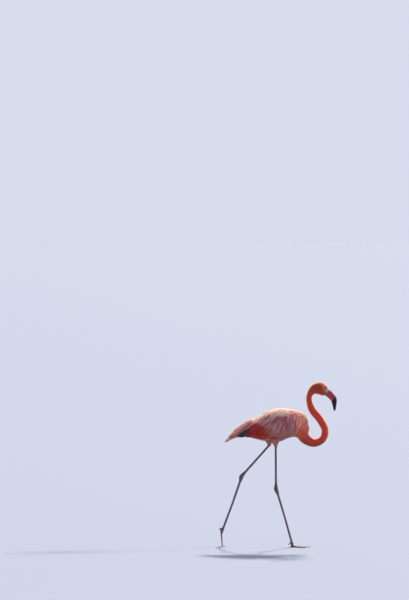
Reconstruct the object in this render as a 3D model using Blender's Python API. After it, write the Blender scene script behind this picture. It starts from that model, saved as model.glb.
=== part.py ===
# A life-size still model of an American flamingo in mid stride, walking toward +X.
# Lengths are in metres, +Z is up, and the bird's left side is +Y. The floor is z = 0.

import math

import bpy
import numpy as np
from mathutils import Matrix, Vector

GAP = 0.0003            # clear space between neighbouring solids
WING_GAP = 0.0023       # clear space under the folded wings
EDGE = 0.0016           # thickness of a folded wing at its border
COVERTS_THICK = 0.0125  # greatest thickness of the folded wing's front part
FEATHERS_THICK = 0.0085 # greatest thickness of its long rear feathers
THIGH_CLEARANCE = 0.034 # how far out from the form the thighs make way for the wings
SHARP = 48              # degrees above which an edge stays crisp

# The backbone of the form from the bill's root, over the head and down the neck to the tail.
# Each station: x, z, reach to the dorsal side, reach to the ventral side, half width.
BILL_FIRST = (0.3674, 0.8432)
STATIONS = {
    "bill_root": (0.3520, 0.8550, 0.0230, 0.0264, 0.0128),
    "brow": (0.3350, 0.8620, 0.0345, 0.0298, 0.0166),
    "crown": (0.3150, 0.8700, 0.0388, 0.0316, 0.0212),
    "occiput": (0.2930, 0.8710, 0.0284, 0.0312, 0.0204),
    "nape": (0.2735, 0.8610, 0.0190, 0.0278, 0.0184),
    "neck_top": (0.2610, 0.8400, 0.0144, 0.0204, 0.0166),
    "neck_thin": (0.2565, 0.8140, 0.0142, 0.0182, 0.0158),
    "neck_back": (0.2735, 0.7570, 0.0196, 0.0226, 0.0186),
    "neck_mid": (0.3150, 0.7020, 0.0188, 0.0246, 0.0196),
    "neck_front": (0.3445, 0.6430, 0.0184, 0.0236, 0.0198),
    "neck_turn": (0.3345, 0.5940, 0.0216, 0.0208, 0.0202),
    "neck_low": (0.2860, 0.5710, 0.0266, 0.0218, 0.0216),
    "neck_root": (0.2360, 0.5980, 0.0345, 0.0298, 0.0290),
    "breast_tip": (0.2140, 0.6200, 0.0665, 0.0286, 0.0400),
    "breast": (0.1870, 0.6420, 0.1003, 0.0465, 0.0577),
    "shoulder": (0.1480, 0.6610, 0.0970, 0.0775, 0.0715),
    "chest": (0.099, 0.671, 0.0912, 0.0925, 0.0748),
    "middle": (0.044, 0.669, 0.0757, 0.0815, 0.0726),
    "flank": (-0.011, 0.658, 0.0545, 0.0760, 0.0605),
    "rump": (-0.066, 0.643, 0.0452, 0.0470, 0.0440),
    "tail_root": (-0.110, 0.628, 0.0322, 0.0231, 0.0286),
    "tail_mid": (-0.1540, 0.6080, 0.0182, 0.0126, 0.0220),
    "tail_tip": (-0.2050, 0.5745, 0.0044, 0.0044, 0.0110),
}

# The bill's own line from its root down to the tip: x, z, half depth, half width,
# and how far down the depth the mouth line lies (0 top, 1 bottom).
BILL = (
    (0.3520, 0.8550, 0.0232, 0.0122, 0.50),
    (0.3674, 0.8432, 0.0196, 0.0132, 0.45),
    (0.3828, 0.8283, 0.0190, 0.0130, 0.36),
    (0.3938, 0.8134, 0.0170, 0.0118, 0.33),
    (0.3972, 0.7969, 0.0144, 0.0092, 0.35),
    (0.3984, 0.7804, 0.0110, 0.0074, 0.40),
    (0.3988, 0.7620, 0.0075, 0.0054, 0.48),
    (0.3990, 0.7500, 0.0046, 0.0038, 0.50),
)

EYE = (0.3338, 0.0114, 0.8778)
EYE_R = 0.0062

NOSTRIL = (0.0080, 0.0024, 0.0009)  # half length, depth and half height of the slit
NOSTRIL_STOP = 2.15                 # how far down the bill's line it lies

# The folded wing's upper and lower borders: stations behind the breast, and degrees down from
# the dorsal midline there.
WING_TOP = ((0, 1.5, 3, 4, 5, 7), (36, 20, 15, 12, 9, 7))
WING_LOW = ((0, 1, 2, 3, 3.6, 4.4, 5.2, 7), (94, 110, 124, 135, 147, 152, 150, 140))

# Legs: the leading one is the right (side -1), the trailing one is the left (side +1).
# Each is hip, tibia top, ankle and toe joint as x, y, z, then how far the tarsus bows forward
# and how far the toes spread in degrees.
LEGS = {
    "right": dict(side=-1, hip=(0.0700, -0.036, 0.640), tibia=(0.0756, -0.034, 0.5555),
                  ankle=(0.0775, -0.025, 0.3215), joint=(0.1689, -0.016, 0.0105),
                  bow=0.0027, spread=36),
    "left": dict(side=1, hip=(0.0480, 0.036, 0.640), tibia=(0.0396, 0.034, 0.5555),
                 ankle=(-0.1112, 0.026, 0.3872), joint=(-0.2188, 0.020, 0.0830),
                 bow=0.0034, spread=16),
}
SHANK_R = 0.0059
ANKLE_R = 0.0122
TARSUS_R = 0.0056
TOE_MID = 0.090
TOE_SIDE = 0.077
TOE_HALF = 0.0046
CLAW_LENGTH = 0.009
WEB_THICK = 0.0024
WEB_REACH = 0.86        # how far out the web comes beside a toe, as a share of the toe
WEB_SCALLOP = 0.16      # how much less far it comes midway between two toes
TOE_CREST = 0.0092      # height of a toe at its root
TOE_TAPER = 0.0040      # how much lower it is at the claw
BOSS = {True: 0.0150, False: 0.0165}  # height of the toe joint over the sole: flat foot, raised foot
BOSS_REACH = 0.0125     # how far the joint's round pad spreads
HEEL_REACH = 0.0115     # how far the sole comes behind the joint
TOE_BEND = 84           # degrees between the trailing foot and the floor under its toes' ends
TOE_BEND_R = 0.010      # radius of that bend

COLOURS = {
    "neck": (0.62, 0.13, 0.08), "trunk": (0.62, 0.26, 0.22), "coverts": (0.60, 0.22, 0.24),
    "tertials": (0.75, 0.42, 0.38), "primaries": (0.03, 0.02, 0.025), "tail": (0.78, 0.45, 0.42),
    "leg": (0.42, 0.27, 0.33), "bill": (0.62, 0.42, 0.42),
    "lower": (0.55, 0.10, 0.10), "eye": (0.80, 0.66, 0.25), "claw": (0.05, 0.04, 0.05),
}


# Curves

class Line:
    # a smooth curve through rows of numbers whose first two or three columns are a place

    def __init__(self, rows, places=2):
        self.rows = np.array(rows, float)
        hop = np.linalg.norm(np.diff(self.rows[:, :places], axis=0), axis=1)
        self.step = np.sqrt(hop)
        slope = np.diff(self.rows, axis=0) / self.step[:, None]
        lean = np.empty_like(self.rows)
        lean[0], lean[-1] = slope[0], slope[-1]
        before, after = self.step[:-1, None], self.step[1:, None]
        lean[1:-1] = (slope[:-1] * after + slope[1:] * before) / (before + after)
        self.lean = lean

    def at(self, u):
        i = int(min(max(math.floor(u), 0), len(self.rows) - 2))
        t, h = u - i, self.step[i]
        a, b = self.rows[i], self.rows[i + 1]
        p, q = self.lean[i] * h, self.lean[i + 1] * h
        value = ((2 * t**3 - 3 * t**2 + 1) * a + (t**3 - 2 * t**2 + t) * p
                 + (3 * t**2 - 2 * t**3) * b + (t**3 - t**2) * q)
        slope = ((6 * t**2 - 6 * t) * a + (3 * t**2 - 4 * t + 1) * p
                 + (6 * t - 6 * t**2) * b + (3 * t**2 - 2 * t) * q)
        return value, slope

    def stops(self, start, end, spacing, places=2):
        # curve values of evenly spaced places from start to end
        fine = np.linspace(start, end, 240)
        spots = np.array([self.at(u)[0][:places] for u in fine])
        length = np.concatenate([[0], np.cumsum(np.linalg.norm(np.diff(spots, axis=0), axis=1))])
        count = max(2, int(round(length[-1] / spacing)) + 1)
        return np.interp(np.linspace(0, length[-1], count), length, fine), length[-1]

    def shift(self, u, distance):
        # the curve value a short distance further along
        return u + distance / max(np.linalg.norm(self.at(u)[1][:2]), 1e-6)


NAMES = list(STATIONS)
BODY = Line([(*BILL_FIRST, 0.02, 0.02, 0.0130), *STATIONS.values()])
BEAK = Line([(*STATIONS["brow"][:2], 0.0270, 0.0160, 0.5), *BILL])


def station(name):
    return NAMES.index(name) + 1.0


def body_point(u, angle, grow=0.0, side=1):
    # a place on the form: angle 0 is the dorsal midline, 180 the ventral one
    (x, z, up, down, half), (dx, dz, *_) = BODY.at(u)
    size = math.hypot(dx, dz)
    nx, nz = dz / size, -dx / size
    c, s = math.cos(math.radians(angle)), math.sin(math.radians(angle))
    full = min(max((u - station("neck_root")) / 2, 0), 1) * min(max((station("tail_mid") - u) / 2, 0), 1)
    power = 1 - 0.08 * full
    reach = ((up if c > 0 else down) + grow) * math.copysign(abs(c) ** power, c)
    across = (half + grow) * math.copysign(abs(s) ** power, s)
    return (x + nx * reach, side * across, z + nz * reach)


# Solids

def material(name, colour, rough):
    made = bpy.data.materials.new(name)
    made.use_nodes = True
    shader = made.node_tree.nodes["Principled BSDF"]
    shader.inputs["Base Color"].default_value = (*colour, 1)
    shader.inputs["Roughness"].default_value = rough
    return made


def solid(name, points, faces, colour, rough=0.6, show=True):
    mesh = bpy.data.meshes.new(name)
    mesh.from_pydata([tuple(p) for p in points], [], faces)
    mesh.polygons.foreach_set("use_smooth", [True] * len(mesh.polygons))
    mesh.set_sharp_from_angle(angle=math.radians(SHARP))
    mesh.update()
    body = bpy.data.objects.new(name, mesh)
    bpy.context.scene.collection.objects.link(body)
    if show:
        mesh.materials.append(material(name, COLOURS[colour], rough))
    else:
        body.hide_render = True
        body.display_type = "WIRE"
    return body


def skin_rings(name, rings, colour, rough=0.6, show=True):
    # a closed solid through a row of rings, with flat ends
    count = len(rings[0])
    points = [p for ring in rings for p in ring]
    faces = []
    for r in range(len(rings) - 1):
        for k in range(count):
            a, b = r * count + k, r * count + (k + 1) % count
            faces.append((a, b, b + count, a + count))
    faces.append(tuple(reversed(range(count))))
    faces.append(tuple(range((len(rings) - 1) * count, len(rings) * count)))
    made = solid(name, points, faces, colour, rough, show)
    outward(made)
    return made


def outward(made):
    # turn every face outward, judged by the signed volume
    mesh = made.data
    volume = 0.0
    for face in mesh.polygons:
        corner = [mesh.vertices[i].co for i in face.vertices]
        for k in range(1, len(corner) - 1):
            volume += corner[0].dot(corner[k].cross(corner[k + 1]))
    if volume < 0:
        mesh.flip_normals()


def cut(target, cutter):
    step = target.modifiers.new("cut " + cutter.name, "BOOLEAN")
    step.operation = "DIFFERENCE"
    step.solver = "EXACT"
    step.object = cutter


def body_loft(name, start, end, spacing, count, colour, grow=0.0, show=True, close=0.0, dense=0.0):
    # a length of the form from one station to another; close rounds off its last stretch,
    # and dense is how much more closely the rings stand at its start
    start, end = BODY.shift(start, GAP / 2), BODY.shift(end, -GAP / 2)
    stops, length = BODY.stops(start, end, spacing)
    if dense:
        even = np.linspace(0, 1, len(stops))
        stops = np.interp((even + dense * even**2) / (1 + dense), even, stops)
    rings = []
    for index, u in enumerate(stops):
        left = length * (1 - index / (len(stops) - 1))
        shrink = 1.0
        if close and left < close:
            shrink = math.sqrt(max(1 - (1 - left / close) ** 2, 0.04))
        centre = np.array(body_point(u, 0, grow)) * 0.5 + np.array(body_point(u, 180, grow)) * 0.5
        ring = [np.array(body_point(u, 360 * k / count, grow)) for k in range(count)]
        rings.append([tuple(centre + (p - centre) * shrink) for p in ring])
    return skin_rings(name, rings, colour, show=show)


def tube(name, rows, stops, count, colour, rough=0.55, grow=0.0, show=True):
    # a round solid along a bent line: rows hold x, y, z, half depth fore and aft, half width
    line = Line(rows, 3)
    rings = []
    for u in stops:
        value, slope = line.at(u)
        along = slope[:3] / np.linalg.norm(slope[:3])
        fore = np.cross((0, 1, 0), along)
        fore /= np.linalg.norm(fore)
        across = np.cross(along, fore)
        deep, wide = value[3] + grow, value[4] + grow
        rings.append([tuple(value[:3] + fore * deep * math.cos(a) + across * wide * math.sin(a))
                      for a in (2 * math.pi * k / count for k in range(count))])
    return skin_rings(name, rings, colour, rough, show)


def sheet(name, grid_u, grid_angle, thick, side, colour, gap=WING_GAP, show=True):
    # a folded wing: an even grid laid on the form, domed outward, with a thin border
    rows, cols = grid_u.shape
    outer = [body_point(grid_u[i, j], grid_angle[i, j], gap + thick[i, j], side)
             for i in range(rows) for j in range(cols)]
    inner = [body_point(grid_u[i, j], grid_angle[i, j], gap, side)
             for i in range(rows) for j in range(cols)]
    faces = []
    layer = rows * cols
    for i in range(rows - 1):
        for j in range(cols - 1):
            a = i * cols + j
            quad = (a, a + 1, a + cols + 1, a + cols)
            faces.append(quad)
            faces.append(tuple(layer + q for q in reversed(quad)))
    rim = ([(0, j) for j in range(cols)] + [(i, cols - 1) for i in range(1, rows)]
           + [(rows - 1, j) for j in range(cols - 2, -1, -1)] + [(i, 0) for i in range(rows - 2, 0, -1)])
    rim = [i * cols + j for i, j in rim]
    for k, a in enumerate(rim):
        b = rim[(k + 1) % len(rim)]
        faces.append((b, a, layer + a, layer + b))
    made = solid(name, outer + inner, faces, colour, show=show)
    outward(made)
    return made


def spread_out(grid, share):
    # the same grid stretched a little about its own middle
    middle = (grid.min() + grid.max()) / 2
    return middle + (grid - middle) * (1 + share)


# Head and bill

def bill_half(name, upper):
    stops, length = BEAK.stops(BEAK.shift(1.0, GAP), len(BILL), 0.0085)
    rings = []
    for u in stops:
        (x, z, depth, half, mouth), (dx, dz, *_) = BEAK.at(u)
        size = math.hypot(dx, dz)
        nx, nz = -dz / size, dx / size
        level = depth * (1 - 2 * mouth) + (GAP / 2 if upper else -GAP / 2)
        level = max(min(level, depth * 0.8), -depth * 0.8)
        turn = math.acos(level / depth)
        count = 9
        ring = []
        for k in range(count):
            if upper:
                angle = -turn + 2 * turn * k / (count - 1)
            else:
                angle = turn + (2 * math.pi - 2 * turn) * k / (count - 1)
            across, reach = half * math.sin(angle), depth * math.cos(angle)
            ring.append((x + nx * reach, across, z + nz * reach))
        rings.append(ring)
    return skin_rings(name, rings, "bill" if upper else "lower", 0.35)


def build_head():
    head = body_loft("head", station("bill_root"), station("nape") + 0.3, 0.0090, 24, "neck")
    for tag, side in (("right", -1), ("left", 1)):
        place = (EYE[0], side * EYE[1], EYE[2])
        ball("eye_" + tag, place, EYE_R, 14, 8, "eye")
        socket = ball("orbit_" + tag, place, EYE_R + GAP * 1.6, 14, 8, "eye", show=False)
        cut(head, socket)
    upper = bill_half("bill_upper", True)
    bill_half("bill_lower", False)
    (x, z, depth, half, _), (dx, dz, *_) = BEAK.at(NOSTRIL_STOP)
    tilt = math.atan2(dz, dx)
    for tag, side in (("right", -1), ("left", 1)):
        nx, nz = -math.sin(tilt), math.cos(tilt)
        lift = depth * 0.52
        place = (x + nx * lift, side * half * 0.92, z + nz * lift)
        slit = ball("nostril_" + tag, place, 1.0, 12, 6, "bill", show=False)
        slit.data.transform(squash(place, tilt, *NOSTRIL))
        cut(upper, slit)


def squash(place, tilt, length, across, thick):
    # the matrix that turns a unit ball at a place into a slim pod lying along the tilt
    move = Matrix.Translation(Vector(place))
    turn = Matrix.Rotation(-tilt, 4, "Y")
    size = Matrix.Diagonal((length, across, thick, 1))
    return move @ turn @ size @ move.inverted()


def ball(name, place, radius, around, up, colour, show=True):
    points = [(place[0], place[1], place[2] + radius)]
    for r in range(1, up):
        lat = math.pi * r / up
        ring, level = radius * math.sin(lat), place[2] + radius * math.cos(lat)
        for k in range(around):
            a = 2 * math.pi * k / around
            points.append((place[0] + ring * math.cos(a), place[1] + ring * math.sin(a), level))
    points.append((place[0], place[1], place[2] - radius))
    faces = []
    for k in range(around):
        n = (k + 1) % around
        faces.append((0, 1 + k, 1 + n))
        for r in range(up - 2):
            a, b = 1 + r * around + k, 1 + r * around + n
            faces.append((a, a + around, b + around, b))
        last = 1 + (up - 2) * around
        faces.append((len(points) - 1, last + n, last + k))
    made = solid(name, points, faces, colour, 0.1, show)
    outward(made)
    return made


# Trunk, tail and wings

def wing_top(u):
    return float(np.interp(u - station("breast"), *WING_TOP))


def wing_low(u):
    return float(np.interp(u - station("breast"), *WING_LOW))


def dome(t, v, crown):
    # thickness over a sheet from its border to its crown
    rise = (max(4 * t * (1 - t), 0) ** 0.55) * (max(4 * v * (1 - v), 0) ** 0.55)
    return EDGE + (crown - EDGE) * rise


def build_wing(tag, side):
    breast = station("breast")
    front, split = breast - 0.12, breast + 4.1
    rows, cols = 10, 14
    lanes = np.linspace(0, 1, rows)

    def border(v):
        # the rear border of the coverts
        return split - 0.55 * (v - 0.5)

    grid_u, grid_a, thick = (np.zeros((rows, cols)) for _ in range(3))
    for i, v in enumerate(lanes):
        start = front + 0.9 * abs(2 * v - 1) ** 2.4
        for j, t in enumerate(np.linspace(0, 1, cols)):
            u = start + (border(v) - start) * t
            grid_u[i, j] = u
            low = wing_low(u) + 3.0 * abs(math.sin(u * math.pi * 1.5))
            grid_a[i, j] = wing_top(u) + (low - wing_top(u)) * v
            if t > 0.5:
                ridge = max(4 * v * (1 - v), 0) ** 0.5
                thick[i, j] = EDGE + (COVERTS_THICK - EDGE) * ridge * (1.45 - 0.9 * t)
            else:
                thick[i, j] = dome(t, v, COVERTS_THICK)
    sheet("wing_coverts_" + tag, grid_u, grid_a, thick, side, "coverts")
    room = sheet("wing_room_" + tag, spread_out(grid_u, 0.01), spread_out(grid_a, 0.012),
                 np.full_like(thick, THIGH_CLEARANCE), side, "coverts", -0.003, False)

    def strip(name, v0, v1, end, colour, rows, cols, narrow, drop=0.0):
        # the long feathers between two lanes, drawn in to a narrow end
        grid_u, grid_a, thick = (np.zeros((rows, cols)) for _ in range(3))
        for i, p in enumerate(np.linspace(0, 1, rows)):
            v = v0 + (v1 - v0) * p
            start = BODY.shift(border(v), GAP * 4)
            stop = end - 0.35 * abs(2 * p - 1) ** 2
            for j, t in enumerate(np.linspace(0, 1, cols)):
                u = start + (stop - start) * t
                mid = v0 + (v1 - v0) * 0.5 + drop * t
                lane = mid + (v - (v0 + v1) / 2) * (1 - narrow * t**1.6)
                grid_u[i, j] = u
                low = wing_low(u)
                grid_a[i, j] = wing_top(u) + (low - wing_top(u)) * lane
                ridge = max(4 * p * (1 - p), 0) ** 0.5
                thick[i, j] = EDGE + (FEATHERS_THICK - EDGE) * ridge * (1 - 0.75 * t)
        sheet(name, grid_u, grid_a, thick, side, colour)

    tail = station("tail_mid")
    strip("wing_tertials_" + tag, 0.0, 0.60, tail + 0.35, "tertials", 7, 10, 0.35, -0.06)
    strip("wing_primaries_" + tag, 0.64, 1.0, tail - 0.42, "primaries", 5, 8, 0.55, 0.02)
    return room


def build_trunk():
    span = (station("neck_root"), station("tail_root") - 0.3)
    body_loft("trunk", *span, 0.021, 24, "trunk", dense=1.2)
    body_loft("tail", span[1], station("tail_tip"), 0.0105, 18, "tail", close=0.012)
    return body_loft("trunk_room", *span, 0.021, 24, "trunk", grow=GAP * 1.5, show=False, dense=1.2)


# Legs and feet

def toe_path(height):
    # how the sole runs forward from the toe joint: a place, and the way the top of the foot faces
    bend, radius = math.radians(TOE_BEND), TOE_BEND_R
    if height < 0.02:
        return lambda f: ((f, 0.0), (0.0, 1.0))
    straight = (height - radius * (1 - math.cos(bend))) / math.sin(bend)
    lean = (math.cos(bend), -math.sin(bend))
    top = (math.sin(bend), math.cos(bend))

    def path(f):
        if f < straight:
            return (lean[0] * f, lean[1] * f + height), top
        if f < straight + radius * bend:
            left = bend - (f - straight) / radius
            x = lean[0] * straight + radius * (math.sin(bend) - math.sin(left))
            return (x, radius * (1 - math.cos(left))), (math.sin(left), math.cos(left))
        x = lean[0] * straight + radius * math.sin(bend)
        return (x + f - straight - radius * bend, 0.0), (0.0, 1.0)

    return path


def build_foot(tag, leg, socket):
    x0, y0, z0 = leg["joint"]
    flat = z0 < 0.02
    path = toe_path(0.0 if flat else z0)
    base_x = x0 if flat else x0 - 0.0088
    spread = math.radians(leg["spread"])
    toes = [(-spread, TOE_SIDE), (0.0, TOE_MID), (spread, TOE_SIDE)]

    def place(f, w, h):
        (px, pz), (nx, nz) = path(f)
        return (base_x + px + nx * h, y0 + w, pz + nz * h)

    def reach(a):
        best = HEEL_REACH if abs(a) > spread + 0.2 else 0.0
        for axis, length in toes:
            off = abs(a - axis)
            if off < 1.5:
                half = TOE_HALF * 0.96
                tip = length if off * length < half * 0.55 else min(length, half / max(math.sin(off), 1e-4))
                best = max(best, tip)
        if abs(a) < spread:
            side = abs(a) / spread
            scallop = WEB_REACH - WEB_SCALLOP * math.sin(math.pi * side) ** 0.8
            web = (TOE_MID + (TOE_SIDE - TOE_MID) * side) * scallop
            best = max(best, web)
        return best

    def height(r, a):
        tall = WEB_THICK
        for axis, length in toes:
            lateral = r * math.sin(min(abs(a - axis), math.pi / 2))
            crest = TOE_CREST - TOE_TAPER * min(r / length, 1)
            half = TOE_HALF + 0.0012 * (1 - min(r / length, 1))
            if lateral < half and abs(a - axis) < 1.2:
                arch = math.sqrt(1 - (lateral / half) ** 2)
                tall = max(tall, WEB_THICK + (crest - WEB_THICK) * arch)
        if r < BOSS_REACH:
            pad = math.sqrt(1 - (r / BOSS_REACH) ** 2)
            tall = max(tall, WEB_THICK + (BOSS[flat] - WEB_THICK) * pad)
        return tall

    angles = []
    side_step = 8 if flat else 6.2
    for axis, _ in toes:
        angles += [axis + math.radians(d) for d in (-side_step, -3, 0, 3, side_step)]
    if flat:
        angles += [-spread / 2, spread / 2]
    back = [math.radians(d) for d in (62, 90, 125, 155)]
    angles += back + [-b for b in back] + [math.pi]
    if flat:
        angles += [spread + 0.26, -spread - 0.26]
    else:
        angles += [spread + 0.24, -spread - 0.24, spread + 0.48, -spread - 0.48]
    angles = sorted(set(round(a, 5) for a in angles))
    steps = [0.12, 0.26, 0.50, 0.76, 0.95, 1.0]
    points, faces = [], []
    for level in (1, 0):
        points.append(place(0.0, 0.0, height(0, 0) if level else 0.0))
        for a in angles:
            far = reach(a)
            for s in steps:
                r = far * s
                if level:
                    h = height(r, a) if s < 1.0 else 0.0012
                else:
                    h = 0.0
                points.append(place(r * math.cos(a), r * math.sin(a), h))
    count, deep = len(angles), len(steps)
    layer = 1 + count * deep
    for level in (0, 1):
        start = level * layer
        if flat and level:
            break
        for i in range(count):
            n = (i + 1) % count
            a, b = start + 1 + i * deep, start + 1 + n * deep
            fan = [(start, a, b)] + [(a + j, a + j + 1, b + j + 1, b + j) for j in range(deep - 1)]
            faces += fan if level == 0 else [tuple(reversed(f)) for f in fan]
    for i in range(count):
        n = (i + 1) % count
        a, b = 1 + i * deep + deep - 1, 1 + n * deep + deep - 1
        faces.append((a, layer + a, layer + b, b))
    if flat:
        sole = [layer + 1 + i * deep + deep - 1 for i in range(count)]
        faces.append(tuple(reversed(sole)))
        used = sorted({q for f in faces for q in f})
        place_of = {q: k for k, q in enumerate(used)}
        points, faces = [points[q] for q in used], [tuple(place_of[q] for q in f) for f in faces]
    foot = solid("foot_" + tag, points, faces, "leg", 0.5)
    outward(foot)
    cut(foot, socket)

    ordered = toes if leg["side"] < 0 else toes[::-1]
    for name, (axis, length) in zip(("inner", "middle", "outer"), ordered):
        rings = []
        for k in range(4):
            t = k / 3
            r = length + GAP + CLAW_LENGTH * t
            half, tall = 0.0027 * (1 - 0.62 * t), 0.0042 * (1 - 0.66 * t**1.5)
            ring = []
            for q in range(7):
                b = math.pi * q / 6
                w, h = half * math.cos(b), max(tall * math.sin(b), 0.0)
                ring.append(place(r * math.cos(axis) - w * math.sin(axis),
                                  r * math.sin(axis) + w * math.cos(axis), h))
            rings.append(ring)
        skin_rings(f"claw_{name}_{tag}", rings, "claw", 0.4)


def build_leg(tag, leg, trunk_room, wing_room):
    hip, tibia, ankle, joint = (np.array(leg[k]) for k in ("hip", "tibia", "ankle", "joint"))
    # feathered thigh, its upper end shaped by the trunk
    wide = [(*hip, 0.034, 0.024), (*(hip * 0.45 + tibia * 0.55), 0.0270, 0.0200),
            (*(hip * 0.16 + tibia * 0.84), 0.0150, 0.0125),
            (*tibia, SHANK_R + 0.0012, SHANK_R + 0.0012)]
    thigh = tube("thigh_" + tag, wide, np.linspace(0, 3, 9), 14, "trunk")
    cut(thigh, trunk_room)
    cut(thigh, wing_room)

    down = (ankle - tibia) / np.linalg.norm(ankle - tibia)
    low = (joint - ankle) / np.linalg.norm(joint - ankle)
    bow = np.array((leg["bow"], 0, 0))
    shank = [(*(tibia - down * 0.008), SHANK_R, SHANK_R),
             (*(tibia + (ankle - tibia) * 0.55), SHANK_R, SHANK_R),
             (*(ankle - down * 0.034), SHANK_R * 1.05, SHANK_R * 1.05),
             (*(ankle - down * 0.010), ANKLE_R * 0.86, ANKLE_R * 0.72),
             (*(ankle + low * 0.004), ANKLE_R, ANKLE_R * 0.80),
             (*(ankle + low * 0.016 + bow * 0.5), ANKLE_R * 0.84, ANKLE_R * 0.66),
             (*(ankle + low * 0.036 + bow * 0.7), TARSUS_R * 1.12, TARSUS_R),
             (*(ankle + (joint - ankle) * 0.50 + bow), TARSUS_R, TARSUS_R * 0.92),
             (*(joint - low * 0.030 + bow * 0.2), TARSUS_R * 1.05, TARSUS_R),
             (*(joint - low * 0.0120), TARSUS_R * 1.40, TARSUS_R * 1.35),
             (*(joint - low * 0.0005), TARSUS_R * 1.15, TARSUS_R * 1.15)]
    line = Line(shank, 3)
    above, below = line_shift(line, 3.0, -GAP / 2), line_shift(line, 3.0, GAP / 2)
    tube("shank_" + tag, shank, [0.0, 1.0, 2.0, 2.5, above], 12, "leg")
    tip = [line_shift(line, 0.0, -GAP), 0.1, 0.3]
    cut(thigh, tube("thigh_room_" + tag, shank, tip, 12, "leg", grow=GAP, show=False))
    tube("tarsus_" + tag, shank, [below, 3.5, 4, 4.5, 5, 5.5, 6, 7, 8, 9, 10], 12, "leg")
    end = [8, 8.5, 9, 9.5, line_shift(line, 10, GAP * 2)]
    socket = tube("socket_" + tag, shank, end, 12, "leg", grow=GAP, show=False)
    # the small raised hind toe
    back = np.cross(low, (0, 1, 0))
    back = back if back[0] < 0 else -back
    root = joint - low * 0.0150 + back * (TARSUS_R * 1.56 + GAP)
    hallux = [(*root, 0.0027, 0.0025), (*(root + back * 0.006 + low * 0.003), 0.0025, 0.0022),
              (*(root + back * 0.013 + low * 0.0085), 0.0010, 0.0010)]
    tube("hallux_" + tag, hallux, [0, 0.5, 1.0, 1.5, 2.0], 8, "leg")
    return socket


def line_shift(line, u, distance):
    # the curve value a short distance further along a line in space
    return u + distance / np.linalg.norm(line.at(u)[1][:3])


def build():
    for thing in list(bpy.data.objects):
        bpy.data.objects.remove(thing)
    build_head()
    body_loft("neck_upper", station("nape") + 0.3, station("neck_back"), 0.013, 16, "neck")
    body_loft("neck_middle", station("neck_back"), station("neck_front"), 0.013, 16, "neck")
    body_loft("neck_loop", station("neck_front"), station("neck_low"), 0.010, 16, "neck")
    body_loft("neck_base", station("neck_low"), station("neck_root"), 0.010, 20, "neck")
    room = build_trunk()
    for tag, leg in LEGS.items():
        socket = build_leg(tag, leg, room, build_wing(tag, leg["side"]))
        build_foot(tag, leg, socket)
    settle()


def settle():
    # put the origin under the middle of the whole bird's box, on the floor
    corners = [v.co for body in bpy.data.objects if not body.hide_render for v in body.data.vertices]
    low = [min(c[axis] for c in corners) for axis in range(3)]
    high = [max(c[axis] for c in corners) for axis in range(3)]
    move = Matrix.Translation(Vector((-(low[0] + high[0]) / 2, -(low[1] + high[1]) / 2, -low[2])))
    for body in bpy.data.objects:
        body.data.transform(move)


build()
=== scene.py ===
# Life-size still model of an American flamingo in mid stride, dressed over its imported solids.
import math

import bmesh
import bpy
import numpy as np
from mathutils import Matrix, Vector
from mathutils.bvhtree import BVHTree


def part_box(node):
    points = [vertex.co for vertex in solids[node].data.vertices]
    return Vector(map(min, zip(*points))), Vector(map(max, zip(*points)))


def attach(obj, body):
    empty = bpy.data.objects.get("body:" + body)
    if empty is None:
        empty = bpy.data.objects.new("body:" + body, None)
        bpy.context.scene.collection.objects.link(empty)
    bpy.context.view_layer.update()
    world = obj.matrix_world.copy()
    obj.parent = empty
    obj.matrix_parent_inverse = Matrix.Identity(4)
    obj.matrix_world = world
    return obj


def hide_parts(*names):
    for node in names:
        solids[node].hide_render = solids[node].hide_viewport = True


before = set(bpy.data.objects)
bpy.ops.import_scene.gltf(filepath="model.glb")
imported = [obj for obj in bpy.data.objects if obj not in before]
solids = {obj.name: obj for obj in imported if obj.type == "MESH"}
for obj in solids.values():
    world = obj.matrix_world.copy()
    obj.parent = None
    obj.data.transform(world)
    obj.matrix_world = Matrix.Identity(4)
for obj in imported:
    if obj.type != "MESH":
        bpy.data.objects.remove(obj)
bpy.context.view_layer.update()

sides = {"right": -1, "left": 1}
sceneRoot = bpy.context.scene.collection


# Node graphs by plain arithmetic: a wire is a node's output that can be added, scaled and ramped

class Wire:
    def __init__(self, graph, socket):
        self.graph, self.socket = graph, socket

    def math(self, operation, first, second=None):
        values = {0: first} if second is None else {0: first, 1: second}
        return self.graph.node("ShaderNodeMath", {"operation": operation}, values)

    def __add__(self, other): return self.math("ADD", self, other)
    def __radd__(self, other): return self.math("ADD", other, self)
    def __sub__(self, other): return self.math("SUBTRACT", self, other)
    def __rsub__(self, other): return self.math("SUBTRACT", other, self)
    def __mul__(self, other): return self.math("MULTIPLY", self, other)
    def __rmul__(self, other): return self.math("MULTIPLY", other, self)
    def __truediv__(self, other): return self.math("DIVIDE", self, other)
    def sine(self): return self.math("SINE", self)
    def size(self): return self.math("ABSOLUTE", self)
    def other(self, name): return Wire(self.graph, self.socket.node.outputs[name])

    def ramp(self, low, high, start=0.0, end=1.0):
        # a smooth step from start to end as this goes from low to high
        return self.graph.node("ShaderNodeMapRange", {"interpolation_type": "SMOOTHSTEP"},
                               {0: self, 1: low, 2: high, 3: start, 4: end})


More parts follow.
